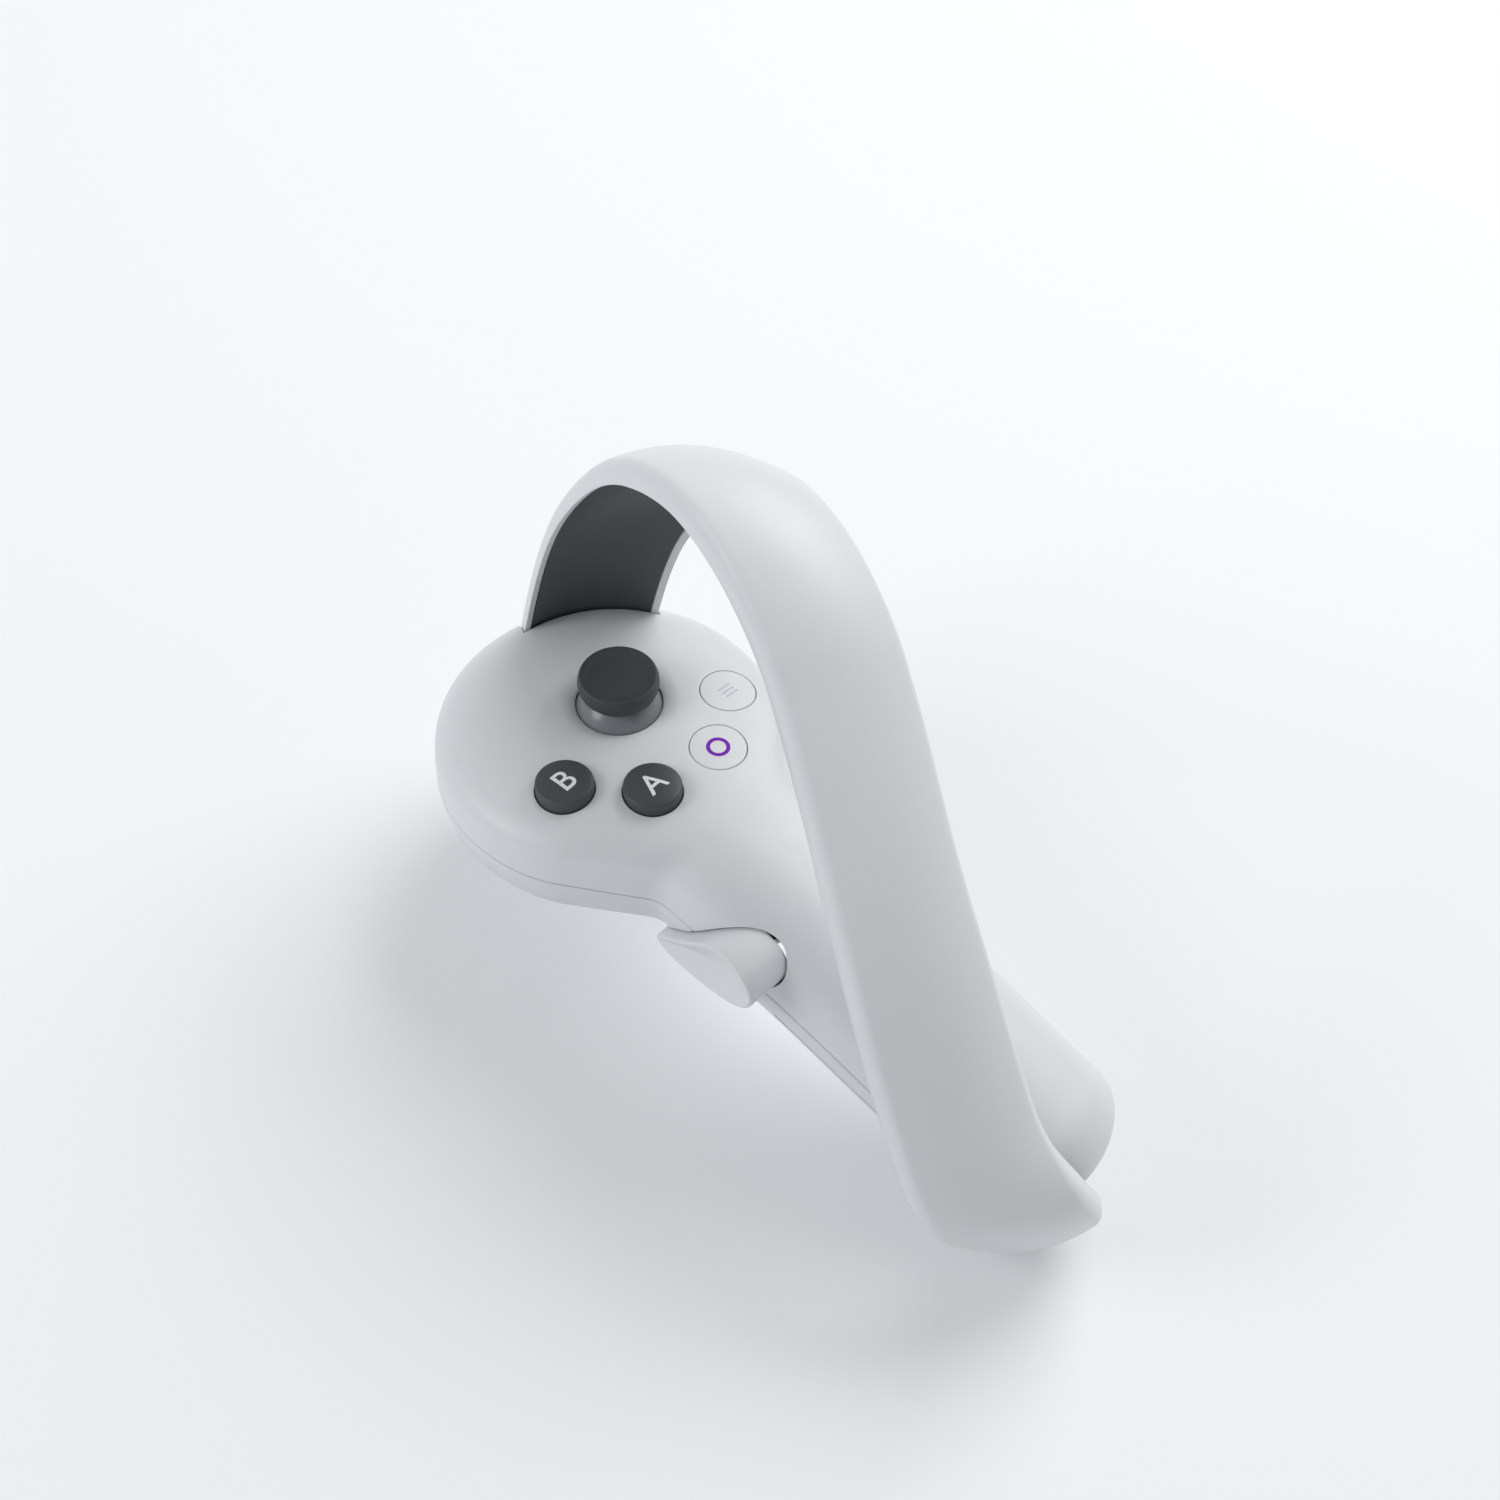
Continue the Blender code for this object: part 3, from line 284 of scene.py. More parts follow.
class Signal:
    # a shader socket that can be added, multiplied and so on

    def __init__(self, tree, socket):
        self.tree, self.socket = tree, socket

    def join(self, kind, settings=None, out=0, **inputs):
        # a new node in this tree; inputs named by socket
        node = self.tree.nodes.new(kind)
        setUp(node, settings)
        for key, value in inputs.items():
            socket = socketNamed(node, key)
            if isinstance(value, Signal):
                self.tree.links.new(value.socket, socket)
            else:
                socket.default_value = value
        return Signal(self.tree, node.outputs[out])

    def maths(self, operation, other=None):
        inputs = {"i0": self}
        if other is not None:
            inputs["i1"] = other
        return self.join("ShaderNodeMath", {"operation": operation}, **inputs)

    def __add__(self, other):
        return self.maths("ADD", other)

    def __sub__(self, other):
        return self.maths("SUBTRACT", other)

    def __mul__(self, other):
        return self.maths("MULTIPLY", other)

    def __truediv__(self, other):
        return self.maths("DIVIDE", other)

    def __gt__(self, other):
        return self.maths("GREATER_THAN", other)

    def __lt__(self, other):
        return self.maths("LESS_THAN", other)

    def __abs__(self):
        return self.maths("ABSOLUTE")

    def between(self, low, high):
        # 0 below low, 1 above high and a smooth step from one to the other
        return self.join("ShaderNodeMapRange", {"interpolation_type": "SMOOTHSTEP"}, Value=self,
                         From_Min=low, From_Max=high, To_Min=0.0, To_Max=1.0)

    def noise(self, scale, detail=3.0, rough=0.55):
        return self.join("ShaderNodeTexNoise", Vector=self, Scale=scale, Detail=detail, Roughness=rough)

    def stretched(self, x, y, z):
        return self.join("ShaderNodeMapping", Vector=self, Scale=(x, y, z))

    def blend(self, low, high):
        # from one colour to another by this signal
        node = self.tree.nodes.new("ShaderNodeMix")
        node.data_type = "RGBA"
        self.tree.links.new(self.socket, node.inputs[0])
        for socket, value in ((node.inputs[6], low), (node.inputs[7], high)):
            if isinstance(value, Signal):
                self.tree.links.new(value.socket, socket)
            else:
                socket.default_value = (*value, 1.0)
        return Signal(self.tree, node.outputs[2])

    def parts(self):
        node = self.tree.nodes.new("ShaderNodeSeparateXYZ")
        self.tree.links.new(self.socket, node.inputs[0])
        return [Signal(self.tree, out) for out in node.outputs]


def newFinish(name, **sockets):
    finish = bpy.data.materials.new(name)
    finish.use_nodes = True
    tree = finish.node_tree
    shader = tree.nodes["Principled BSDF"]
    for key, value in sockets.items():
        shader.inputs[key.replace("_", " ")].default_value = value
    coords = tree.nodes.new("ShaderNodeTexCoord")
    return finish, shader, Signal(tree, coords.outputs["Object"])


def feed(shader, signal, socket):
    signal.tree.links.new(signal.socket, shader.inputs[socket])


def bump(shader, height, distance):
    normal = height.join("ShaderNodeBump", Height=height, Distance=distance, Strength=1.0)
    feed(shader, normal, "Normal")


def mouldedPlastic(name, colour, shade, roughness, grain, relief, coat=0.0):
    # spark-eroded tool texture, faint flow marks and a little handling shine
    finish, shader, place = newFinish(name, IOR=1.5, Coat_Weight=coat)
    fine = place.noise(grain, 2.0, 0.6)
    flow = place.stretched(1.0, 0.45, 1.0).noise(38.0, 4.0, 0.6)
    touch = place.noise(95.0, 3.0, 0.5)
    feed(shader, (flow * 0.5 + fine * 0.3).between(0.25, 0.75).blend(shade, colour), "Base Color")
    feed(shader, (touch - 0.5) * 0.16 + (fine - 0.5) * 0.1 + roughness, "Roughness")
    bump(shader, fine + place.noise(grain * 0.37, 2.0, 0.5) * 0.6, relief)
    return finish


def workedMetal(name, colour, roughness, streak, relief):
    # fine tool marks, and dull patches
    finish, shader, place = newFinish(name, Metallic=1.0)
    marks = place.stretched(*streak).noise(900.0, 3.0, 0.6)
    dull = place.noise(140.0, 4.0, 0.6)
    feed(shader, dull.blend(tuple(c * 0.8 for c in colour), colour), "Base Color")
    feed(shader, (marks - 0.5) * 0.18 + (dull - 0.5) * 0.22 + roughness, "Roughness")
    bump(shader, marks, relief)
    return finish


def ink(name, colour, shade, roughness):
    # pad-printed ink, thinner in places
    finish, shader, place = newFinish(name)
    thin = place.noise(2600.0, 3.0, 0.6)
    feed(shader, thin.between(0.3, 0.6).blend(shade, colour), "Base Color")
    feed(shader, (thin - 0.5) * 0.2 + roughness, "Roughness")
    bump(shader, thin, 0.00001)
    return finish


def solderMask():
    # green mask over copper tracks, with bare pads
    finish, shader, place = newFinish("solderMask", Specular_IOR_Level=0.5, Coat_Weight=0.3)
    x, y, z = place.parts()
    bend = (place.noise(60.0, 1.0) - 0.5) * 0.006
    tracks = abs((x + y * 0.35 + bend).maths("PINGPONG", 0.0011) - 0.00055) < 0.00022
    ground = place.noise(70.0, 2.0) > 0.56
    pads = place.join("ShaderNodeTexVoronoi", Vector=place, Scale=260.0) < 0.16
    copper = (tracks + ground).maths("MINIMUM", 1.0)
    mask = copper.blend((0.012, 0.11, 0.05), (0.03, 0.2, 0.085))
    feed(shader, pads.blend(mask, (0.78, 0.62, 0.3)), "Base Color")
    feed(shader, pads * 0.85, "Metallic")
    feed(shader, place.noise(400.0) * 0.2 + 0.26, "Roughness")
    bump(shader, copper + place.noise(3000.0) * 0.3, 0.00003)
    return finish


def cellWrap(start, along, length):
    # a plain printed jacket: dark, with one band and bare ends, by distance along the cell
    finish, shader, place = newFinish("cellWrap", Coat_Weight=0.4, Coat_Roughness=0.15)
    x, y, z = place.parts()
    gone = ((x - start[0]) * along[0] + (y - start[1]) * along[1] + (z - start[2]) * along[2]) / length
    band = (gone > 0.72) * (gone < 0.9)
    scuff = place.noise(700.0, 4.0, 0.65)
    jacket = scuff.between(0.35, 0.75).blend((0.018, 0.02, 0.028), (0.05, 0.055, 0.07))
    feed(shader, band.blend(jacket, (0.55, 0.33, 0.08)), "Base Color")
    feed(shader, band * 0.7, "Metallic")
    feed(shader, (scuff - 0.5) * 0.25 + 0.33, "Roughness")
    bump(shader, scuff, 0.00002)
    return finish


plastics = {
    # colour, shade, roughness, grain, relief and clear coat
    "shellWhite": ((0.745, 0.76, 0.775), (0.715, 0.73, 0.745), 0.40, 5200.0, 0.000018, 0.0),
    "shellLower": ((0.745, 0.76, 0.775), (0.715, 0.73, 0.745), 0.40, 4600.0, 0.000024, 0.0),
    "keyDark": ((0.068, 0.072, 0.080), (0.052, 0.055, 0.062), 0.46, 5600.0, 0.00002, 0.0),
    "capRubber": ((0.060, 0.063, 0.070), (0.043, 0.046, 0.052), 0.56, 3600.0, 0.00004, 0.0),
    "windowDark": ((0.066, 0.070, 0.080), (0.055, 0.058, 0.067), 0.34, 7000.0, 0.000008, 0.12),
    "frameBlack": ((0.022, 0.023, 0.026), (0.012, 0.012, 0.014), 0.5, 3200.0, 0.00003, 0.0),
    "skirtGrey": ((0.26, 0.27, 0.29), (0.2, 0.21, 0.225), 0.28, 6000.0, 0.00001, 0.3),
    "lensClear": ((0.72, 0.71, 0.62), (0.6, 0.58, 0.45), 0.18, 6000.0, 0.00001, 0.6),
    "chipBlack": ((0.035, 0.036, 0.04), (0.02, 0.02, 0.022), 0.42, 9000.0, 0.00001, 0.0),
}
metals = {
    # colour, roughness, how the tool marks are stretched, and relief
    "turnedSteel": ((0.62, 0.63, 0.65), 0.26, (1.0, 1.0, 9.0), 0.00001),
    "springSteel": ((0.5, 0.5, 0.5), 0.3, (1.0, 6.0, 1.0), 0.00001),
    "nickelPlate": ((0.72, 0.69, 0.62), 0.24, (5.0, 1.0, 1.0), 0.000008),
    "magnetPlate": ((0.55, 0.55, 0.57), 0.2, (1.0, 1.0, 1.0), 0.000012),
}
inks = {
    # colour, shade and roughness
    "inkWhite": ((0.86, 0.87, 0.88), (0.74, 0.75, 0.76), 0.42),
    "inkViolet": ((0.20, 0.003, 0.47), (0.17, 0.003, 0.41), 0.8),
    "inkGrey": ((0.56, 0.575, 0.60), (0.50, 0.515, 0.54), 0.42),
}
finishes = {}
for maker, rows in ((mouldedPlastic, plastics), (workedMetal, metals), (ink, inks)):
    for finishName, row in rows.items():
        finishes[finishName] = maker(finishName, *row)
finishes["solderMask"] = solderMask()
print("finishes made:", len(finishes))

# The body: a round control head run into a sloping handle, in two shells.
body = {
    "wall": 1.8, "gap": 0.35, "seamDrop": 1.2, "seamGap": 0.3, "rimSoft": 0.3,
    "headRadius": 32.4, "neckBlend": 5.0, "pommelLength": 12.0, "handleStart": 4,
    "arcSteps": 88, "sideSteps": 96, "pommelSteps": 52, "rows": 30,
    # x, y, z of the axis, handle half width, top height, bottom depth, how square the top and the bottom are
    "spine": (
        (6.3, 9.0, -11.0, 17.5, 11.0, 13.0, 4.0, 3.8),
        (6.2, -6.0, -11.2, 17.5, 11.1, 13.4, 3.8, 3.7),
        (5.6, -18.0, -12.4, 17.5, 11.6, 14.0, 3.2, 3.2),
        (5.6, -30.0, -15.2, 17.4, 12.8, 14.6, 2.7, 2.9),
        (6.9, -45.0, -21.6, 16.8, 14.0, 15.0, 2.3, 2.5),
        (10.1, -68.0, -34.0, 17.0, 14.8, 15.0, 2.2, 2.5),
        (13.2, -91.5, -46.6, 16.8, 14.8, 15.0, 2.2, 2.5),
    ),
}
spinePath = smoothPath(body["spine"])
outlineStore = {}


def spineFrame(share):
    here = spinePath(share)
    along = unit(spinePath(min(share + 0.004, 1.0))[:3] - spinePath(max(share - 0.004, 0.0))[:3])
    if share <= 0.0:
        along = np.array((0.0, -1.0, 0.0))
    right = unit(np.cross(upAxis, along))
    return here[:3], along, right, np.cross(along, right), here[3:]


def bodyOutline(inset, handleOnly=False):
    # stations round the widest line, as arrays
    if (inset, handleOnly) in outlineStore:
        return outlineStore[(inset, handleOnly)]
    first = body["handleStart"] / (len(body["spine"]) - 1) if handleOnly else 0.0
    rows = []

    def width(anchor, sizes):
        if handleOnly:
            return sizes[0] - inset
        back = np.linalg.norm(anchor - np.array(body["spine"][0][:3]))
        circle = math.sqrt(max(body["headRadius"] ** 2 - back ** 2, 0.0))
        blend = body["neckBlend"]
        return (circle ** blend + sizes[0] ** blend) ** (1 / blend) - inset

    def add(anchor, outward, up, sizes):
        rows.append((anchor, outward, up, sizes[1] - inset, sizes[2] - inset, sizes[3], sizes[4]))

    start, along, right, up, sizes = spineFrame(first)
    for turn in np.linspace(0, math.pi, body["arcSteps"] + 1):
        add(start, (right * math.cos(turn) - along * math.sin(turn)) * width(start, sizes), up, sizes)
    shares = [first + (1 - first) * i / body["sideSteps"] for i in range(1, body["sideSteps"] + 1)]
    frames = [spineFrame(share) for share in shares]
    for anchor, _, right, up, sizes in frames:
        add(anchor, -right * width(anchor, sizes), up, sizes)
    end, along, right, up, sizes = spineFrame(1.0)
    reach, length = sizes[0] - inset, body["pommelLength"] - inset
    for turn in np.linspace(0, math.pi, body["pommelSteps"] + 1)[1:-1]:
        add(end, along * math.sin(turn) * length - right * math.cos(turn) * reach, up, sizes)
    for anchor, _, right, up, sizes in reversed(frames):
        add(anchor, right * width(anchor, sizes), up, sizes)
    columns = [np.array(column) for column in zip(*rows)]
    outlineStore[(inset, handleOnly)] = columns
    return columns


def skinRow(inset, lift=None, drop=None, handleOnly=False):
    # one row of the skin, by its angle above the widest line or its drop below it
    anchor, outward, up, top, bottom, topPower, bottomPower = bodyOutline(inset, handleOnly)
    if drop is not None:
        reach = (1 - (drop / bottom) ** bottomPower) ** (1 / bottomPower)
        height = np.full(len(reach), -drop)
    else:
        power, size = (topPower, top) if lift >= 0 else (bottomPower, -bottom)
        turn = math.radians(abs(lift))
        reach = max(math.cos(turn), 0.0) ** (2 / power) if abs(lift) < 89.999 else np.zeros(len(power))
        height = math.sin(turn) ** (2 / power) * size
    return anchor + outward * reach[:, None] + up * height[:, None]


def liftSteps(count, start=0.0):
    return [90.0 * math.sin(math.pi / 2 * t) ** 2 for t in np.linspace(start, 1.0, count)]


def skinSolid(name, inset=0.0, handleOnly=False):
    # the whole closed skin, as a cutting guide
    lifts = [-a for a in reversed(liftSteps(24)[1:])] + liftSteps(24)
    rows = [skinRow(inset, lift=a, handleOnly=handleOnly) for a in lifts]
    return lofted(name, rows, capped=False)


def shellPiece(name, finish, upper):
    # outer rows from the spine line to the seam, a rounded rim, and inner rows back
    wall, soft = body["wall"], body["rimSoft"]
    edge = body["seamDrop"] if upper else body["seamDrop"] + body["seamGap"]
    way = 1 if upper else -1
    if upper:
        outer = [skinRow(0.0, lift=a) for a in reversed(liftSteps(body["rows"]))]
        outer += [skinRow(0.0, drop=d) for d in np.linspace(0.4, edge - soft, 6)]
    else:
        lowStart = 0.32
        outer = [skinRow(0.0, lift=-a) for a in reversed(liftSteps(body["rows"], lowStart))]
        outer += [skinRow(0.0, drop=d) for d in np.linspace(edge + 1.2, edge + soft, 4)]
    rim = [skinRow(soft * (1 - math.cos(a)), drop=edge - way * soft * (1 - math.sin(a)))
           for a in np.linspace(0.25, math.pi / 2, 5)]
    inner = [skinRow(wall - 0.2, drop=edge), skinRow(wall, drop=edge - way * 0.2)]
    if upper:
        inner += [skinRow(wall, drop=d) for d in (0.7, 0.35)]
        inner += [skinRow(wall, lift=a) for a in liftSteps(14)]
    else:
        inner += [skinRow(wall, lift=-a) for a in liftSteps(14, 0.36)]
    return lofted(name, outer + rim + inner, finish, capped=False)


def skinHeight(x, y):
    # height of the outer skin over a point of the control face
    hit = skinTree.ray_cast(Vector((x, y, 40.0)), Vector((0, 0, -1)))[0]
    return hit.z if hit else -11.0


skinRows = [skinRow(0.0, lift=a) for a in reversed(liftSteps(40))]
skinTree = BVHTree.FromPolygons([tuple(p) for p in np.concatenate(skinRows)],
                                ringFaces(len(skinRows), len(skinRows[0])))

stick = {
    "place": (9.9, 9.7), "well": 8.1, "pivot": -5.0, "capRadius": 7.7, "capTop": 6.8, "capThick": 4.2,
    "stem": 1.9, "dome": 8.9, "recess": -1.0, "recessRadius": 9.5, "dishRadius": 11.4,
}
keys = {
    "button_a": {"place": (-2.1, -10.3), "radius": 5.5, "travel": 1.0, "raised": True, "legend": "A"},
    "button_b": {"place": (-12.4, 2.0), "radius": 5.5, "travel": 1.0, "raised": True, "legend": "B"},
    "home_button": {"place": (13.9, -11.7), "radius": 5.3, "travel": 0.6, "raised": False, "legend": "ring"},
    "menu_button": {"place": (25.6, -3.3), "radius": 5.2, "travel": 0.6, "raised": False, "legend": "bars"},
}
keyShape = {
    "rise": 1.9, "flange": 0.9, "holeGap": 0.14, "flushGap": 0.16, "lip": 0.15, "switchTop": -11.2,
    # the raised caps are drawn a little slimmer and higher than the solids
    "slimmer": 0.05, "higher": 0.25,
}


def unitCircle(steps):
    turns = np.arange(steps) * math.tau / steps
    return np.stack((np.cos(turns), np.sin(turns)), axis=1)


def rimmedHole(name, x, y, radius, profile, steps=112):
    # a cutter whose lip follows the skin: profile holds (added radius, height over the skin)
    across = unitCircle(steps)
    rings = [np.column_stack((across * radius + (x, y), np.full(steps, -13.0)))]
    for more, height in profile:
        spots = across * (radius + more) + (x, y)
        skin = np.array([skinHeight(*spot) for spot in spots])
        rings.append(np.column_stack((spots, skin + height)))
    return lofted(name, rings)


ringShape = {
    "width": 25.6, "depth": 4.6, "crown": 3.4, "face": 1.5, "rim": 1.3, "tip": 9.0, "edge": 1.6,
    "flare": 0.06, "flareStart": 0.58, "flareSpan": 0.16, "rootGap": 0.4, "stations": 300,
    "channelStart": 0.03, "channelStep": 0.0004, "foot": 2.4, "stub": 2.3, "stubEnd": (62.6, -8.5, -5.5),
    "linerThick": 1.2, "linerSplit": 0.60, "linerLast": 0.92, "linerGap": 0.16, "linerEdge": 0.12,
    # x, y, z of the middle of the outer face, then the direction across it
    "path": (
        (26.0, 35.5, -13.5, 0.81, -0.59, 0.00), (26.5, 35.0, -2.0, 0.81, -0.59, -0.02),
        (28.5, 28.5, 23.5, 0.78, -0.61, -0.23), (29.0, 18.5, 42.0, 0.77, -0.59, -0.31),
        (27.5, 6.5, 55.0, 0.80, -0.54, -0.28), (24.0, -9.5, 61.5, 0.82, -0.50, -0.26),
        (18.5, -27.0, 59.0, 0.83, -0.48, -0.23), (11.7, -44.5, 48.0, 0.85, -0.45, -0.21),
        (-3.4, -75.0, 14.2, 0.90, -0.40, -0.17), (-11.8, -97.5, -19.5, 0.88, -0.46, -0.12),
        (-11.0, -105.6, -36.5, 0.84, -0.54, -0.05), (-2.4, -104.4, -54.0, 0.76, -0.63, 0.10),
        (4.2, -97.2, -63.8, 0.70, -0.69, 0.18),
    ),
}
ringPath = smoothPath(ringShape["path"])


def ringFrame(share):
    here = ringPath(share)
    along = unit(ringPath(min(share + 0.003, 1.0))[:3] - ringPath(max(share - 0.003, 0.0))[:3])
    outward = unit(np.cross(along, here[3:]))
    return here[:3], along, np.cross(outward, along), outward


def bandRow(share, section):
    # a section of (across, depth) at a share of the ring
    middle, _, side, outward = ringFrame(share)
    section = np.asarray(section, float)
    fall = ringShape["crown"] * (section[:, :1] / (ringShape["width"] / 2)) ** 2
    rise = min(max((share - ringShape["flareStart"]) / ringShape["flareSpan"], 0.0), 1.0)
    wider = 1 + ringShape["flare"] * rise * rise * (3 - 2 * rise)
    return middle + section[:, :1] * wider * side - (section[:, 1:] + fall) * outward


def sweptBand(name, section, shares, finish=None):
    return lofted(name, [bandRow(share, section(share)) for share in shares], finish)


def flatBand(width, near, far, steps=12, soft=0.0):
    across = np.linspace(-width / 2 + soft, width / 2 - soft, steps + 1)
    section = [(a, near) for a in across]
    if soft:
        section += [(width / 2, near + soft), (width / 2, far - soft)]
    section += [(a, far) for a in across[::-1]]
    if soft:
        section += [(-width / 2, far - soft), (-width / 2, near + soft)]
    return section


grip = {
    "outline": ((-20.5, -24.0), (-29.0, -16.8), (-35.5, -11.4), (-41.0, -9.6), (-46.0, -11.2), (-48.2, -15.0),
                (-47.0, -18.6), (-42.6, -21.6), (-35.5, -23.6), (-27.0, -24.9)),
    "tipFace": -12.8, "rearFace": -17.2, "inner": -6.8, "pivot": (-7.8, -25.0), "shelf": (-14.2, -11.4),
    "pin": 0.9, "slotGap": 0.45, "slotOut": -30, "slotFloor": -4.3, "scoop": 1.9, "edgeSoft": 0.55,
    "middle": (-37.5, -16.4),
}
gripLoop = smoothLoop(grip["outline"], 12)

trigger = {
    "middle": 6.3, "width": 19.0, "pivot": (25.0, -18.6), "pin": 1.25, "edgeSoft": 2.0,
    "outline": ((38.2, -14.9), (40.6, -18.5), (41.4, -23.0), (40.0, -28.5), (37.8, -33.0), (37.2, -37.5),
                (38.0, -41.0), (35.4, -41.6), (32.2, -37.5), (31.2, -32.0), (30.4, -27.5), (27.5, -24.3),
                (23.0, -22.9), (21.5, -19.5), (22.3, -16.2), (26.0, -15.1), (32.0, -14.9)),
}

power = {
    "cellRadius": 5.2, "cellLength": 44.5, "cellStart": 4.2, "coverStart": 2.8, "coverEnd": 50.6,
    "coverEdge": -6.0, "coverGap": 0.3,
}
handleA, handleB = (np.array(body["spine"][k][:3]) for k in (body["handleStart"], -1))
handleAlong = unit(handleB - handleA)
handleRight = unit(np.cross(upAxis, handleAlong))
handleUp = np.cross(handleAlong, handleRight)


def handlePoint(along, right, up):
    return handleA + handleAlong * along + handleRight * right + handleUp * up


fasteners = {
    "angles": (152.0, 225.0, 5.0), "reach": 26.6, "neck": (6.0, -36.0), "neckSeam": -18.4,
    "boss": 2.9, "head": 2.0, "shank": 0.9, "seat": 3.2, "shankGap": 0.3, "headGap": 0.35,
}


def headPoint(angle, reach, z):
    x, y = body["spine"][0][:2]
    turn = math.radians(angle)
    return np.array((x + reach * math.cos(turn), y + reach * math.sin(turn), z))


def screwPlaces():
    seam = body["spine"][0][2] - body["seamDrop"]
    return [headPoint(angle, fasteners["reach"], seam) for angle in fasteners["angles"]] + [
        np.array((*fasteners["neck"], fasteners["neckSeam"]))]


def ringFootMiddle():
    outward = unit(np.array(ringShape["path"][0][:2]) - np.array(body["spine"][0][:2]))
    spot = np.array(body["spine"][0][:2]) + outward * (body["headRadius"] - ringShape["depth"] - 3.4)
    return np.array((*spot, ringShape["path"][0][2] + 4.2)), np.array((*outward, 0.0))


def rod(name, start, end, radius, finish=None, steps=40, soft=0.0):
    start, end = np.asarray(start, float), np.asarray(end, float)
    length = np.linalg.norm(end - start)
    profile = [(radius, 0.0), (radius, length)]
    if soft:
        small = soft * 0.3
        profile = [(radius - soft, 0.0), (radius - small, small), (radius, soft), (radius, length - soft),
                   (radius - small, length - small), (radius - soft, length)]
    return turned(name, start, end - start, profile, finish, steps)


def gripSlot(name):
    slot = grownLoop(gripLoop, grip["slotGap"])
    return drawnSolid(name, slot, (0, 0, 0), aheadAxis, upAxis, sideAxis, grip["slotOut"],
                      grip["slotFloor"], 0.0)


def makeUpperShell():
    shell = shellPiece("upperShell", finishes["shellWhite"], True)
    cutters = []
    x, y = stick["place"]
    dish = [(0.0, -1.3), (0.1, -1.0), (0.3, -0.78), (0.62, -0.62)]
    reach = stick["dishRadius"] - stick["well"]
    for t in np.linspace(0.15, 1.0, 9):
        dish.append((0.62 + (reach - 0.62) * t, -0.58 * (1 - t) ** 2))
    dish += [(reach + 0.3, 0.06), (reach + 0.3, 4.0)]
    cutters.append(rimmedHole("stickWell", x, y, stick["well"], dish))
    recess = rod("stickRecess", (x, y, -8.0), (x, y, stick["recess"]), stick["recessRadius"])
    for name, key in keys.items():
        gap = keyShape["holeGap"] if key["raised"] else keyShape["flushGap"]
        soft = keyShape["lip"]
        lip = [(soft * (1 - math.cos(a)), -soft * (1 - math.sin(a)))
               for a in np.linspace(0.0, math.pi / 2, 6)]
        cutters.append(rimmedHole(name + "Hole", *key["place"], key["radius"] + gap,
                                  lip + [(soft + 0.12, 0.02), (soft + 0.12, 3.0)]))
    notch = flatBand(ringShape["width"] + 0.5, -3.0, ringShape["depth"] + 0.3)
    cutters.append(sweptBand("ringNotch", lambda share: notch, np.linspace(0.0, 0.06, 12)))
    cutters.append(gripSlot("gripSlot"))
    bosses = []
    threadHole = fasteners["shank"] + fasteners["shankGap"]
    for i, (x, y, seam) in enumerate(screwPlaces()):
        top = min(skinHeight(x, y) - 1.0, -1.0)
        boss = rod(f"upperBoss{i}", (x, y, seam), (x, y, top), fasteners["boss"], finishes["shellWhite"])
        bosses.append(carve(boss, [rod("thread", (x, y, seam - 1), (x, y, seam + 6), threadHole)]))
    shell = carve(carve(shell, [recess]), cutters)
    shell = blended("upperShell", [shell] + bosses)
    return fit(shell, "case", "shell_white", "upper_shell")


def coverBlock(name, gap):
    # the block along the handle that the cover takes up, made smaller by gap
    start, end = power["coverStart"] + gap, power["coverEnd"] - gap
    loop = boxLoop(end - start, 60.0)
    middle = handlePoint((start + end) / 2, 0, 0)
    return drawnSolid(name, loop, middle, handleAlong, handleRight, handleUp, -40,
                      power["coverEdge"] - gap, 0.0)


def makeLowerShell():
    shell = shellPiece("lowerShell", finishes["shellLower"], False)
    cutters = [gripSlot("gripSlotLow")]
    mouth = boxLoop(trigger["width"] + 1.2, 46.0, 2.2)
    cutters.append(drawnSolid("triggerSlot", mouth, (trigger["middle"], 41.4, -35.0), sideAxis, upAxis, aheadAxis,
                              -20.0, 20.0, 0.0))
    cutters.append(coverBlock("coverOpening", 0.0))
    start, end = np.array(ringShape["path"][-2][:3]), handlePoint(*ringShape["stubEnd"])
    cutters.append(rod("stubHole", start - unit(end - start) * 8, end, ringShape["stub"] + 0.3))
    headHole = fasteners["head"] + fasteners["headGap"]
    for i, (x, y, seam) in enumerate(screwPlaces()):
        cutters.append(rod(f"screwSeat{i}", (x, y, seam - fasteners["seat"]), (x, y, -50), headHole))
    bosses = []
    for i, (x, y, seam) in enumerate(screwPlaces()):
        boss = rod(f"lowerBoss{i}", (x, y, seam - 0.1), (x, y, seam - 8.0), fasteners["boss"],
                   finishes["shellLower"])
        hole = rod("through", (x, y, seam + 1), (x, y, seam - 12), fasteners["shank"] + fasteners["shankGap"])
        seat = rod("seat", (x, y, seam - fasteners["seat"]), (x, y, seam - 12), headHole)
        bosses.append(carve(boss, [hole, seat]))
    shell = carve(shell, cutters)
    return fit(blended("lowerShell", [shell] + bosses), "case", "shell_lower", "lower_shell")


def makeCover():
    cover = shellPiece("batteryCover", finishes["shellLower"], False)
    blank = coverBlock("coverBlank", power["coverGap"])
    step = cover.modifiers.new("trim", "BOOLEAN")
    step.operation, step.solver, step.object = "INTERSECT", "EXACT", blank
    settle(cover)
    bpy.data.objects.remove(blank)
    ribs = []
    for i in range(6):
        along = power["coverEnd"] - 8.0 - i * 2.1
        left, right = handlePoint(along, -6.5, -15.3), handlePoint(along, 6.5, -15.3)
        ribs.append(rod(f"fingerGroove{i}", left, right, 0.75, soft=0.3, steps=20))
    return fit(carve(cover, ribs), "cover", "shell_lower", "battery_cover")


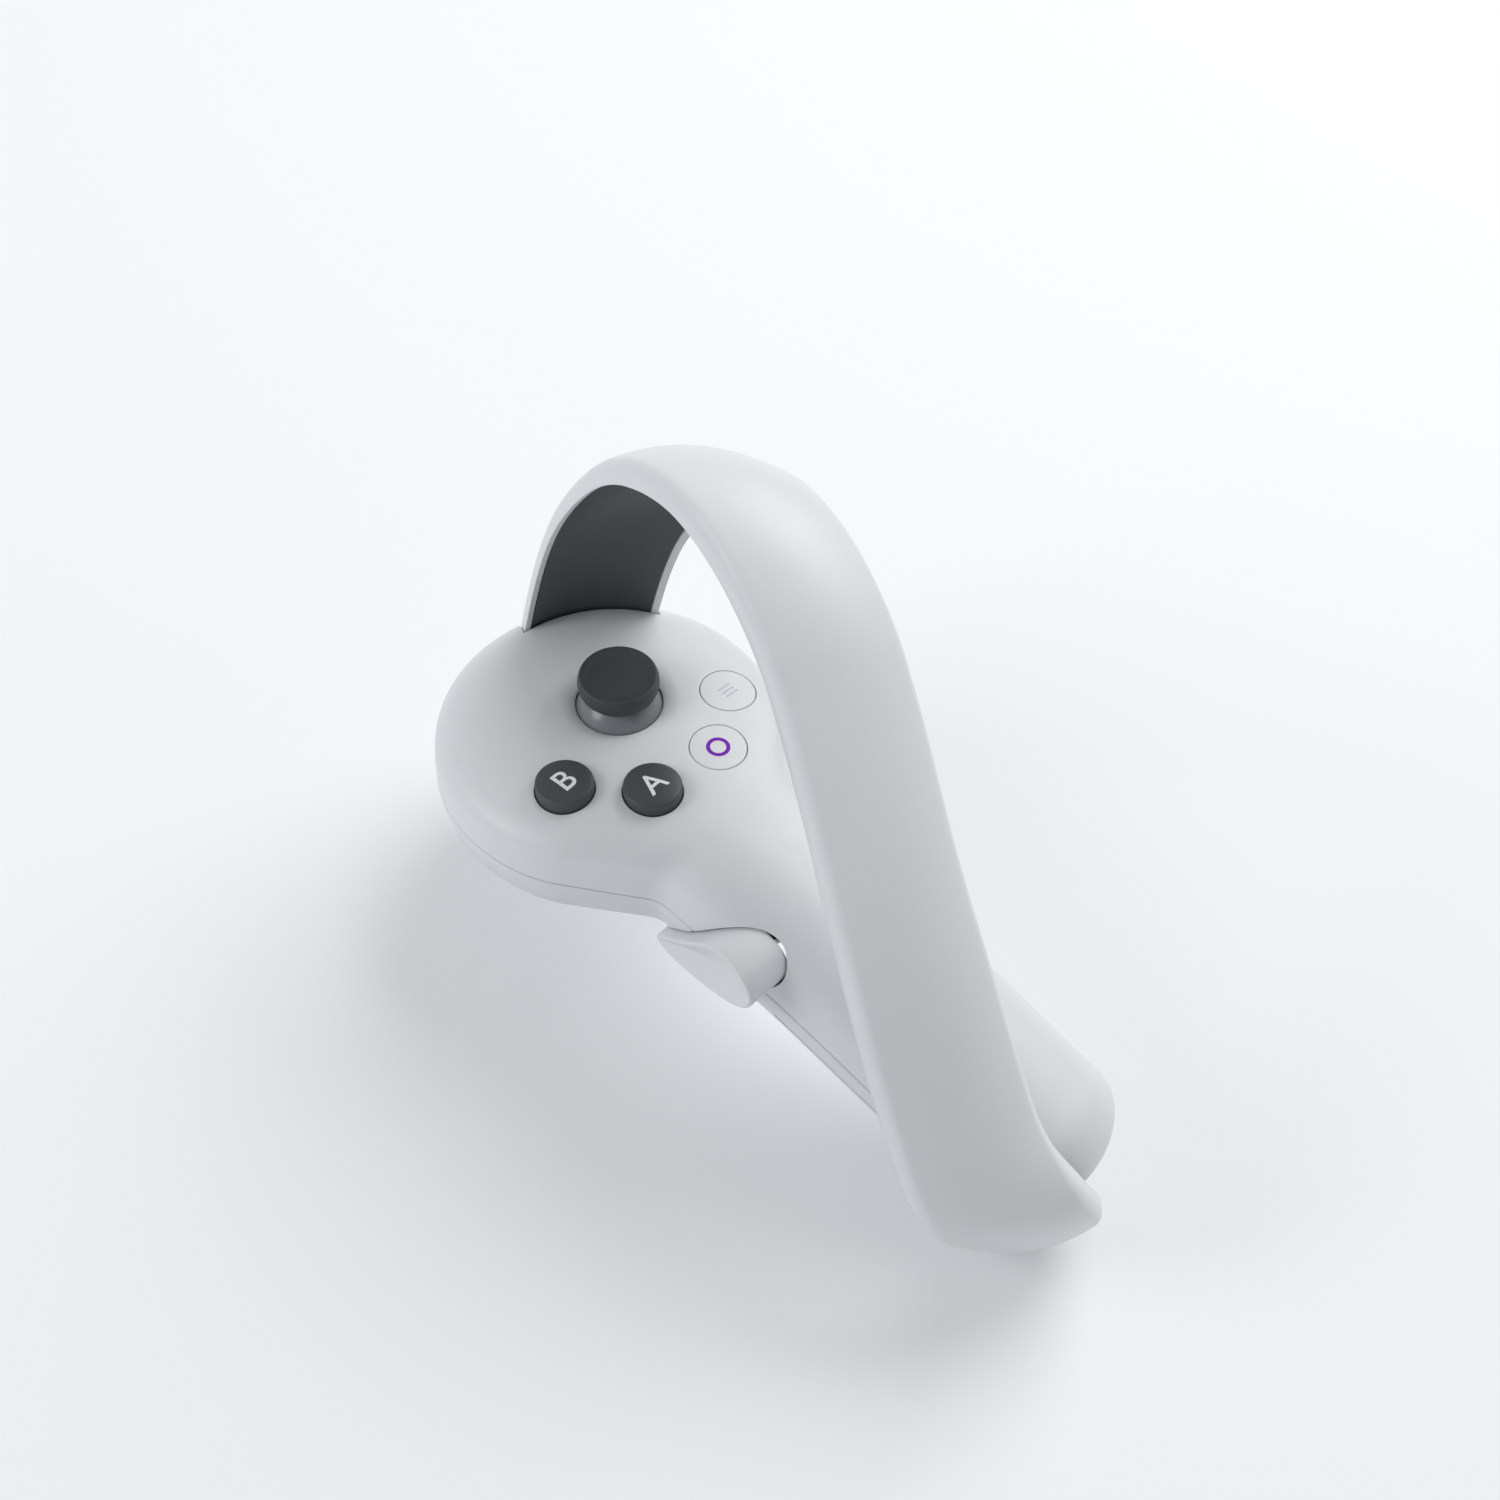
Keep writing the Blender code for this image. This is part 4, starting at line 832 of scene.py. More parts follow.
def makeRing():
    width, depth, soft = ringShape["width"], ringShape["depth"], ringShape["edge"]
    total = ringPath.length
    tip = ringShape["tip"] / total
    channelEnd = 1 - 1.6 * tip

    def section(share, channel):
        over = max(0.0, share - (1 - tip)) / tip
        squeeze = max(math.sqrt(max(1 - over ** 2, 0.0)), 0.05)
        half = width / 2 * squeeze
        edge = min(soft, half * 0.8)
        corner = [(half - edge + edge * math.cos(a), 1.5 * soft * (1 - math.sin(a)))
                  for a in np.linspace(math.pi / 2, 0, 8)]
        face = [(a, 0.0) for a in np.linspace(-half + edge, half - edge, 19)[1:-1]]
        floor = ringShape["face"] if channel else depth - 0.02
        rim = min(ringShape["rim"], half * 0.5)
        inner = [(half, depth - 0.35), (half - 0.1, depth - 0.1), (half - 0.35, depth), (half - rim + 0.25, depth),
                 (half - rim + 0.07, depth - 0.02), (half - rim, depth - 0.04 if not channel else depth - 0.2),
                 (half - rim, floor)]
        middle = [(a, floor) for a in np.linspace(half - rim, -half + rim, 15)[1:-1]]
        left = [(-a, d) for a, d in reversed(corner)]
        return left + face + corner + inner + middle + [(-a, d) for a, d in reversed(inner)]

    start = ringShape["rootGap"] / total
    plain = list(np.linspace(start, 1 - tip, ringShape["stations"]))
    shares = sorted(plain + [1 - tip + tip * math.sin(t) for t in np.linspace(0.08, math.pi / 2, 16)]
                    + [edge + step for edge in (ringShape["channelStart"], channelEnd)
                       for step in (-ringShape["channelStep"], ringShape["channelStep"])])
    band = sweptBand("trackingRing", lambda s: section(s, ringShape["channelStart"] < s < channelEnd), shares,
                     finishes["shellWhite"])
    band = carve(band, [skinSolid("pommelGuide", -body["gap"], True)])
    foot, outward = ringFootMiddle()
    tab = drawnSolid("ringTab", boxLoop(13.0, 9.4, 1.6), foot + outward * 2.2 - upAxis * ringShape["foot"] / 2,
                     np.cross(outward, upAxis), outward, upAxis, 0.0, ringShape["foot"], 0.3, finishes["shellWhite"])
    tab = carve(tab, [rod("tabHole", foot - upAxis * 3, foot + upAxis * 3, fasteners["shank"] + 0.35)])
    low, high = np.array(ringShape["path"][-2][:3]), handlePoint(*ringShape["stubEnd"])
    stub = rod("ringStub", low + unit(high - low) * 3.0, high, ringShape["stub"], finishes["shellWhite"],
               soft=0.3)
    ring = blended("trackingRing", [band, tab, stub])
    fit(ring, "case", "shell_white", "ring_outer_shell")

    channel = width - 2 * ringShape["rim"] - 2 * ringShape["linerGap"]
    near = depth - ringShape["linerThick"] - ringShape["linerEdge"]
    liner = flatBand(channel, near, near + ringShape["linerThick"], 16, ringShape["linerEdge"])
    seam = 0.2 / total
    dark = sweptBand("darkWindow", lambda s: liner, np.linspace(ringShape["channelStart"] + seam,
                     ringShape["linerSplit"], 190), finishes["windowDark"])
    fit(dark, "case", "liner_dark", "ring_liner_dark")
    light = sweptBand("lightLiner", lambda s: liner, np.linspace(ringShape["linerSplit"] + seam,
                      ringShape["linerLast"], 110), finishes["shellWhite"])
    carve(light, [skinSolid("pommelGuide", -body["gap"], True)])
    fit(light, "case", "shell_white", "ring_liner_light")


makeUpperShell()
makeLowerShell()
makeCover()
print("shells made")
makeRing()
print("ring made")


def domeHeight(reach, radius, rise):
    return rise - 0.55 * (reach / radius) ** 2.4


def raisedKey(name, key):
    x, y = key["place"]
    radius, rise = key["radius"] - keyShape["slimmer"], keyShape["rise"] + keyShape["higher"]
    foot = keyShape["switchTop"] + key["travel"] + 0.3
    top = [(radius * s, domeHeight(radius * s, radius, rise)) for s in np.linspace(0.0, 0.87, 16)]
    edge = [(radius, rise - 1.5), (radius, rise - 0.62), top[-1]]
    skirt = [(radius, -3.0)] + eased(edge, 0.5, 7)[:-1]
    wide = radius + keyShape["flange"]
    under = [(0.0, foot), (2.0, foot), (2.0, -4.4), (wide, -4.4), (wide, -3.55), (radius, -3.55)]
    return turned(name + "Cap", (x, y, 0), upAxis, under + skirt + top[::-1], finishes["keyDark"], 112, 40)


def flushKey(name, key):
    # its top follows the skin round it
    x, y = key["place"]
    radius, soft = key["radius"], 0.16
    foot = keyShape["switchTop"] + key["travel"] + 0.3
    across = unitCircle(112)
    rings = []
    low, wide = skinHeight(x, y) - 3.6, radius + 0.8
    under = ((0.0, foot), (2.0, foot), (2.0, low), (wide, low), (wide, low + 0.8), (radius, low + 0.8))
    for r, z in under:
        rings.append(np.column_stack((across * r + (x, y), np.full(len(across), z))))
    lip = [(radius - soft * (1 - math.cos(a)), -soft * (1 - math.sin(a)))
           for a in np.linspace(0, math.pi / 2, 6)]
    for r, dz in [(radius, -1.2)] + lip + [(radius * s, 0.0) for s in np.linspace(0.94, 0.0, 12)]:
        spots = across * r + (x, y)
        rings.append(np.column_stack((spots, np.array([skinHeight(*spot) + dz for spot in spots]))))
    return lofted(name + "Cap", rings, finishes["shellWhite"], 40)


legend = {
    "lift": 0.025, "letter": 6.5, "markOuter": 2.25, "markInner": 1.5, "barLength": 3.0, "barWidth": 0.42,
}


def printed(name, flat, faces, height, finish):
    # thin ink over a key: flat holds x, y from the key's middle
    flat = np.asarray(flat, float)
    top = [(px, py, height(px, py) + legend["lift"]) for px, py in flat]
    return meshObject(name, top, faces, finish)


def letterInk(name, key, height):
    curve = bpy.data.curves.new(name, "FONT")
    curve.body = key["legend"]
    curve.align_x, curve.align_y = "CENTER", "CENTER"
    curve.size = legend["letter"]
    curve.offset = 0.05
    curve.resolution_u = 6
    holder = placed(name, curve)
    bpy.context.view_layer.update()
    mesh = bpy.data.meshes.new_from_object(holder.evaluated_get(bpy.context.evaluated_depsgraph_get()))
    bpy.data.objects.remove(holder)
    shape = bmesh.new()
    shape.from_mesh(mesh)
    bmesh.ops.remove_doubles(shape, verts=shape.verts, dist=1e-4)
    spots = np.array([v.co[:2] for v in shape.verts])
    middle = (spots.min(0) + spots.max(0)) / 2
    for axis in (Vector((1, 0, 0)), Vector((0, 1, 0))):
        for cut in np.arange(-3.0, 3.01, 0.4):
            geometry = shape.verts[:] + shape.edges[:] + shape.faces[:]
            spot = Vector((*middle, 0)) + axis * cut
            bmesh.ops.bisect_plane(shape, geom=geometry, plane_co=spot, plane_no=axis)
    x, y = key["place"]
    flat = [(v.co.x - middle[0] + x, v.co.y - middle[1] + y) for v in shape.verts]
    shape.verts.index_update()
    faces = [tuple(v.index for v in face.verts) for face in shape.faces]
    shape.free()
    return printed(name, flat, faces, height, finishes["inkWhite"])


def ringInk(name, key, height):
    x, y = key["place"]
    turns = np.arange(72) * math.tau / 72
    flat = [(x + r * math.cos(t), y + r * math.sin(t))
            for r in np.linspace(legend["markInner"], legend["markOuter"], 3) for t in turns]
    return printed(name, flat, ringFaces(3, 72), height, finishes["inkViolet"])


def barsInk(name, key, height):
    # three short bars, a plain sign for a menu
    x, y = key["place"]
    flat, faces = [], []
    for row in (-1.05, 0.0, 1.05):
        loop = boxLoop(legend["barLength"], legend["barWidth"], legend["barWidth"] * 0.49, 4)
        faces.append(tuple(range(len(flat), len(flat) + len(loop))))
        flat += [(x + a, y + row + b) for a, b in loop]
    return printed(name, flat, faces, height, finishes["inkGrey"])


def makeKeys():
    bodies = {"button_a": "button_a", "button_b": "button_b", "home_button": "home", "menu_button": "menu"}
    for name, key in keys.items():
        x, y = key["place"]
        if key["raised"]:
            cap = raisedKey(name, key)

            def height(px, py, x=x, y=y, r=key["radius"] - keyShape["slimmer"]):
                return domeHeight(math.dist((px, py), (x, y)), r, keyShape["rise"] + keyShape["higher"])
            mark = letterInk(name + "Mark", key, height)
        else:
            cap = flushKey(name, key)
            maker = ringInk if key["legend"] == "ring" else barsInk
            mark = maker(name + "Mark", key, skinHeight)
        for face in mark.data.polygons:  # ink faces up
            if face.normal.z < 0:
                mark.data.flip_normals()
                break
        slot = "cap_dark" if key["raised"] else "shell_white"
        fit(blended(name + "Key", [cap, mark]), bodies[name], slot, name)


makeKeys()
print("keys made")


def makeStick():
    x, y = stick["place"]
    r, top = stick["capRadius"], stick["capTop"]
    low = top - stick["capThick"] - 0.5
    bore = stick["stem"] + 0.1
    outer = eased([(bore, low + 0.3), (r * 0.70, low), (r * 0.93, low + 0.8), (r, low + 2.3), (r * 0.99, top - 1.1),
                   (r * 0.94, top), (r * 0.84, top - 0.12), (r * 0.74, top - 0.42), (r * 0.58, top - 0.56),
                   (0.0, top - 0.6)], [0, 0.5, 0.6, 0.9, 0.7, 0.45, 0.5, 0.7, 1.5, 0], 6)
    cap = turned("stickCap", (x, y, 0), upAxis, [(0, top - 1.5), (bore, top - 1.5)] + outer,
                 finishes["capRubber"], 128, 50)
    fit(cap, "stick_top", "cap_dark", "stick_cap")
    dome, wall, lip = stick["dome"], 0.9, bore + 0.4
    head = low - stick["pivot"] - 0.05
    turns = np.radians(np.linspace(67, math.degrees(math.acos(head / dome)), 22))
    arc = [(dome * math.sin(a), dome * math.cos(a)) for a in turns]
    turns = np.radians(np.linspace(math.degrees(math.asin(lip / (dome - wall))), 65, 16))
    under = [((dome - wall) * math.sin(a), (dome - wall) * math.cos(a)) for a in turns]
    profile = arc + [(lip, head)] + under + [arc[0]]
    skirt = turned("stickSkirt", (x, y, stick["pivot"]), upAxis, profile, finishes["skirtGrey"], 112, 45)
    fit(skirt, "stick_top", "stem_grey", "stick_skirt")


makeStick()
print("stick made")


def makeGrip():
    # a drawn side wall, a rounded edge and a scooped outer face
    loop = gripLoop
    tip, rear = loop[:, 0].max(), loop[:, 0].min()
    middle = np.array(grip["middle"])

    def face(flat):
        share = np.clip((tip - flat[:, 0]) / (tip - rear), 0, 1)
        return grip["tipFace"] + (grip["rearFace"] - grip["tipFace"]) * share ** 0.8

    def ring(flat, x):
        return np.column_stack((x, flat))

    soft = grip["edgeSoft"]
    rows = [ring(loop, np.full(len(loop), grip["inner"]))]
    wallTop = face(loop)
    for t in np.linspace(0.0, 1.0, 8):
        rows.append(ring(loop, grip["inner"] + (wallTop + soft - grip["inner"]) * t))
    for a in np.linspace(0.25, math.pi / 2, 6):
        flat = grownLoop(loop, -soft * (1 - math.cos(a)))
        rows.append(ring(flat, face(loop) + soft * (1 - math.sin(a))))
    start = grownLoop(loop, -soft)
    for s in np.linspace(0.93, 0.0, 22):
        flat = middle + (start - middle) * s
        drop = grip["scoop"] * (1 - s ** 2) ** 1.15
        rows.append(ring(flat, face(start) * s + face(middle[None])[0] * (1 - s) + drop))
    paddle = lofted("gripPaddle", rows, finishes["shellWhite"], 42)
    x, y = grip["pivot"]
    carve(paddle, [rod("gripBore", (x, y, -36), (x, y, 0), grip["pin"] + 0.3)], sharp=42)
    return fit(paddle, "grip", "shell_white", "grip_paddle")


def makeTrigger():
    loop = smoothLoop(trigger["outline"], 8)
    half = trigger["width"] / 2
    y, z = trigger["pivot"]
    blade = drawnSolid("indexTrigger", loop, (trigger["middle"], 0, 0), aheadAxis, upAxis, sideAxis,
                       -half, half, trigger["edgeSoft"], finishes["shellWhite"], 42)
    bore = rod("triggerBore", (trigger["middle"] - 12, y, z), (trigger["middle"] + 12, y, z),
               trigger["pin"] + 0.3)
    spot = np.array((trigger["middle"] + half, y + 6.5, z + 0.4))
    pocket = rod("magnetPocket", spot - sideAxis * 3.6, spot + sideAxis * 2, 1.8)
    carve(blade, [bore, pocket], sharp=42)
    return fit(blade, "trigger", "shell_white", "index_trigger")


makeGrip()
makeTrigger()
print("grip and trigger made")


class Graph:
    # a geometry tree with named inputs

    def __init__(self, name, inputs):
        self.tree = bpy.data.node_groups.new(name, "GeometryNodeTree")
        face = self.tree.interface
        face.new_socket("Geometry", in_out="INPUT", socket_type="NodeSocketGeometry")
        self.keys = {}
        for label, (kind, value) in inputs.items():
            socket = face.new_socket(label, in_out="INPUT", socket_type="NodeSocket" + kind)
            if value is not None:
                socket.default_value = value
            self.keys[label] = socket.identifier
        face.new_socket("Geometry", in_out="OUTPUT", socket_type="NodeSocketGeometry")
        self.inside = self.tree.nodes.new("NodeGroupInput")
        self.outside = self.tree.nodes.new("NodeGroupOutput")

    def given(self, label):
        return self.inside.outputs[label]

    def add(self, kind, settings=None, out=0, **inputs):
        node = self.tree.nodes.new(kind)
        setUp(node, settings)
        for key, value in inputs.items():
            socket = socketNamed(node, key)
            if isinstance(value, bpy.types.NodeSocket):
                self.tree.links.new(value, socket)
            else:
                socket.default_value = value
        return node.outputs[out]

    def close(self, geometry):
        real = self.add("GeometryNodeRealizeInstances", Geometry=geometry)
        done = self.add("GeometryNodeSetMaterial", Geometry=real, Material=self.given("Finish"))
        self.tree.links.new(done, self.outside.inputs[0])

    def run(self, name, mesh, values):
        # the finished plain mesh of this tree on mesh
        holder = placed(name, mesh)
        step = holder.modifiers.new(name, "NODES")
        step.node_group = self.tree
        for label, value in values.items():
            step[self.keys[label]] = value
        settle(holder)
        return holder


def coilGraph():
    graph = Graph("coilSpring", {"Radius": ("Float", 0.002), "Wire": ("Float", 0.0003), "Turns": ("Float", 3.0),
                                 "Height": ("Float", 0.003), "Finish": ("Material", None)})
    spiral = graph.add("GeometryNodeCurveSpiral", Resolution=28, Rotations=graph.given("Turns"),
                       Start_Radius=graph.given("Radius"), End_Radius=graph.given("Radius"),
                       Height=graph.given("Height"))
    ring = graph.add("GeometryNodeCurvePrimitiveCircle", {"mode": "RADIUS"}, Resolution=12,
                     Radius=graph.given("Wire"))
    tube = graph.add("GeometryNodeCurveToMesh", Curve=spiral, Profile_Curve=ring, Fill_Caps=True)
    graph.close(graph.add("GeometryNodeSetShadeSmooth", Geometry=tube))
    return graph


def copiesGraph():
    # copies of one part on points that carry "facing", "spin" and "size"
    graph = Graph("partCopies", {"Part": ("Object", None), "Spread": ("Float", 0.0), "Seed": ("Int", 7),
                                 "Finish": ("Material", None)})

    def field(name, kind):
        return graph.add("GeometryNodeInputNamedAttribute", {"data_type": kind}, Name=name)

    lean = graph.add("FunctionNodeAlignRotationToVector", {"axis": "Z"}, Vector=field("facing", "FLOAT_VECTOR"))
    chance = graph.add("FunctionNodeRandomValue", {"data_type": "FLOAT"}, 1, i2=-1.0, i3=1.0,
                       Seed=graph.given("Seed"))
    wander = graph.add("ShaderNodeMath", {"operation": "MULTIPLY"}, i0=chance, i1=graph.given("Spread"))
    turn = graph.add("ShaderNodeMath", {"operation": "ADD"}, i0=wander, i1=field("spin", "FLOAT"))
    about = graph.add("FunctionNodeAxisAngleToRotation", Axis=(0.0, 0.0, 1.0), Angle=turn)
    both = graph.add("FunctionNodeRotateRotation", {"rotation_space": "LOCAL"}, Rotation=lean, Rotate_By=about)
    part = graph.add("GeometryNodeObjectInfo", {"transform_space": "ORIGINAL"}, "Geometry",
                     Object=graph.given("Part"))
    points = graph.add("GeometryNodeMeshToPoints", Mesh=graph.given("Geometry"))
    copies = graph.add("GeometryNodeInstanceOnPoints", Points=points, Instance=part, Rotation=both,
                       Scale=field("size", "FLOAT_VECTOR"))
    graph.close(copies)
    return graph


coils, copies = coilGraph(), copiesGraph()


def spotMesh(name, spots):
    # spots hold place (mm), facing, spin and size
    mesh = bpy.data.meshes.new(name)
    mesh.from_pydata([tuple(p) for p in rowPoints([spot[0] for spot in spots])], [], [])
    turn = np.array(leanTurn.to_3x3())
    for label, kind, key, values in (
            ("facing", "FLOAT_VECTOR", "vector", [turn @ unit(spot[1]) for spot in spots]),
            ("spin", "FLOAT", "value", [spot[2] for spot in spots]),
            ("size", "FLOAT_VECTOR", "vector", [spot[3] for spot in spots])):
        layer = mesh.attributes.new(label, kind, "POINT")
        layer.data.foreach_set(key, np.array(values, float).ravel())
    return mesh


def loosePart(name, points, faces, sharp=32):
    # a part at the origin in metres, drawn along +Z, to be copied
    mesh = bpy.data.meshes.new(name)
    mesh.from_pydata([tuple(np.asarray(p) * 0.001) for p in points], [], faces)
    tidyMesh(mesh, sharp)
    return placed(name, mesh)


def turnedPart(name, profile, steps=40):
    turns = np.arange(steps) * math.tau / steps
    points = [(r * math.cos(t), r * math.sin(t), h) for r, h in profile for t in turns]
    return loosePart(name, points, ringFaces(len(profile), steps, True, True))


def spring(name, values, foot, axis, body, slot, node):
    # a coil from the tree, then moved to its place
    made = coils.run(name, bpy.data.meshes.new(name), {**values, "Finish": finishes["springSteel"]})
    facing = Vector(axis).to_track_quat("Z", "Y").to_matrix().to_4x4()
    made.data.transform(Matrix.Translation(Vector(rowPoints([foot])[0])) @ leanTurn @ facing)
    return fit(made, body, slot, node)


springs = {
    "trigger": {"Radius": 0.0018, "Wire": 0.00024, "Turns": 3.0, "Height": 0.0015},
    "grip": {"Radius": 0.0015, "Wire": 0.00024, "Turns": 3.0, "Height": 0.0017},
}


def makeSprings():
    y, z = trigger["pivot"]
    spring("triggerSpring", springs["trigger"], (trigger["middle"] + trigger["width"] / 2 + 0.6, y, z), sideAxis,
           "case", "steel", "trigger_spring")
    x, y = grip["pivot"]
    spring("gripSpring", springs["grip"], (x, y, grip["shelf"][1] + 0.6), upAxis, "case", "steel", "grip_spring")


def makeScrews():
    # one pan head screw with a cross recess, copied to the five seats
    head, shank = fasteners["head"], fasteners["shank"]
    profile = eased([(0, -1.3), (head * 0.72, -1.28), (head, -0.75), (head, 0), (shank, 0)],
                    [0, 0.4, 0.3, 0.1, 0], 4)
    thread = []
    for i in range(13):
        z = 0.4 + i * 0.5
        thread += [(shank, z), (shank * 0.74, z + 0.25)]
    screw = turnedPart("screwPart", profile + thread + [(shank * 0.6, 7.2), (0, 7.6)], 32)
    for wide, deep in ((2.1, 0.5), (0.5, 2.1)):
        loop = boxLoop(wide, deep, 0.12)
        points = [(a * s, b * s, h) for h, s in ((-2.0, 1.0), (-0.55, 0.75)) for a, b in loop]
        cross = loosePart("crossRecess", points, ringFaces(2, len(loop), True, True))
        carve(screw, [cross])
    drop = fasteners["seat"] + body["gap"]
    seats = [((x, y, seam - drop), upAxis, 0.4, (1, 1, 1)) for x, y, seam in screwPlaces()]
    foot, _ = ringFootMiddle()
    seats.append((foot - upAxis * (ringShape["foot"] / 2 + body["gap"]), upAxis, 0.9, (1, 1, 0.74)))
    made = copies.run("caseScrews", spotMesh("screwSeats", seats),
                      {"Part": screw, "Spread": 1.5, "Seed": 4, "Finish": finishes["turnedSteel"]})
    bpy.data.objects.remove(screw)
    return fit(made, "case", "steel", "case_screw_1", "case_screw_2", "case_screw_3", "case_screw_4",
               "ring_foot_screw")


lights = {"count": 9, "stripWidth": 12.0, "stripThick": 0.3, "first": 0.045}


def makeLightStrip():
    near = ringShape["face"] + body["gap"]
    pitch = (ringShape["linerSplit"] - 0.06) / lights["count"]
    last = lights["first"] + lights["count"] * pitch
    strip = sweptBand("lightStrip", lambda s: flatBand(lights["stripWidth"], near, near + lights["stripThick"], 6),
                      np.linspace(lights["first"], last, 120), finishes["solderMask"])
    profile = eased([(0.0, 0.0), (1.5, 0.0), (1.5, 0.25), (1.15, 0.28), (0.9, 0.55), (0.0, 0.62)],
                    [0, 0, 0.08, 0.05, 0.3, 0], 4)
    lamp = turnedPart("lampPart", profile, 28)
    spots = []
    for i in range(lights["count"]):
        middle, along, side, outward = ringFrame(lights["first"] + (i + 0.5) * pitch)
        for across in (-3.2, 0.0, 3.2):
            fall = ringShape["crown"] * (across / (ringShape["width"] / 2)) ** 2
            spots.append((middle + side * across - outward * (near + lights["stripThick"] + fall), -outward, 0.0,
                          (1, 1, 1)))
    lamps = copies.run("lightLamps", spotMesh("lampSpots", spots),
                       {"Part": lamp, "Spread": 0.0, "Seed": 2, "Finish": finishes["lensClear"]})
    bpy.data.objects.remove(lamp)
    fit(strip, "case", "board_green", "ring_led_strip")
    fit(lamps, "case", "board_green")


boardShape = {"top": -13.5, "radius": 25.2, "seed": 11, "count": 46}


def makeBoardParts():
    # small chips scattered clear of the switches, the bosses and the stick cup
    rng = np.random.default_rng(boardShape["seed"])
    middle = np.array(body["spine"][0][:2])
    taken = [(np.array(key["place"]), 4.4) for key in keys.values()]
    taken += [(np.array(stick["place"]), 10.9)] + [(np.array(p[:2]), 4.4) for p in screwPlaces()]
    taken.append((ringFootMiddle()[0][:2], 8.5))
    spots = []
    for _ in range(900):
        if len(spots) >= boardShape["count"]:
            break
        spot = middle + rng.uniform(-1, 1, 2) * boardShape["radius"]
        big = len(spots) < 5
        reach = 2.6 if big else 1.1
        if np.linalg.norm(spot - middle) > boardShape["radius"] - reach:
            continue
        if any(np.linalg.norm(spot - other) < clear + reach for other, clear in taken):
            continue
        taken.append((spot, reach))
        size = (3.2, 3.2, 0.9) if big else (rng.uniform(0.8, 1.5), 0.7, rng.uniform(0.4, 0.7))
        spots.append(((*spot, boardShape["top"]), upAxis, 0.0 if big else math.pi / 2 * rng.integers(0, 2), size))
    loop = boxLoop(1.0, 1.0, 0.08, 2)
    points = [(a * s, b * s, h) for h, s in ((0.0, 1.0), (0.85, 1.0), (1.0, 0.9)) for a, b in loop]
    chip = loosePart("chipPart", points, ringFaces(3, len(loop), True, True))
    made = copies.run("boardChips", spotMesh("chipSpots", spots),
                      {"Part": chip, "Spread": 0.0, "Seed": 3, "Finish": finishes["chipBlack"]})
    bpy.data.objects.remove(chip)
    return fit(made, "case", "inner_black")


makeSprings()
makeScrews()
makeLightStrip()
makeBoardParts()
print("springs, screws, lamps and chips made")


def makeCells():
    radius, length = power["cellRadius"], power["cellLength"]
    offset = radius + body["gap"] / 2
    turn = np.array(leanTurn.to_3x3())
    along = turn @ handleAlong
    start = rowPoints([handlePoint(power["cellStart"], 0, 0)])[0]
    wrap = cellWrap(start, along, length * 0.001)
    for node, side in (("battery_cell_left", -1), ("battery_cell_right", 1)):
        jacket = [(radius - 0.9, 0.15), (radius - 0.25, 0.1), (radius, 0.5), (radius, length - 1.9),
                  (radius - 0.25, length - 1.5), (radius - 0.9, length - 1.45), (radius - 1.0, length - 1.6),
                  (radius - 1.0, 0.3), (radius - 0.9, 0.15)]
        can = eased([(0, 0), (radius - 0.95, 0), (radius - 0.95, length - 1.35), (2.75, length - 1.2),
                     (2.75, length), (0, length)], [0, 0.4, 0.4, 0.3, 0.5, 0], 4)
        parts = []
        for label, profile, finish in (("jacket", jacket, wrap), ("can", can, finishes["nickelPlate"])):
            if side > 0:
                profile = [(a, length - b) for a, b in reversed(profile)]
            parts.append(turned(node + label, handlePoint(power["cellStart"], side * offset, 0), handleAlong,
                                profile, finish, 72))
        fit(blended("dryCellLeft" if side < 0 else "dryCellRight", parts), "case", "cell_jacket", node)


makeCells()

keptNodes = {
    "nickelPlate": ("a_switch", "b_switch", "home_switch", "menu_switch", "stick_click_switch", "contact_front",
                    "contact_rear", "stick_hub", "haptic_motor"),
    "turnedSteel": ("grip_pin", "trigger_pin", "stick_gimbal", "stick_stem"),
    "frameBlack": ("battery_tray", "stick_cup"),
    "solderMask": ("main_board",),
    "magnetPlate": ("trigger_magnet",),
}
for finishName, nodeNames in keptNodes.items():
    for nodeName in nodeNames:
        mesh = frame["nodes"][nodeName].data
        mesh.materials.clear()
        mesh.materials.append(finishes[finishName])
print("inner parts finished")


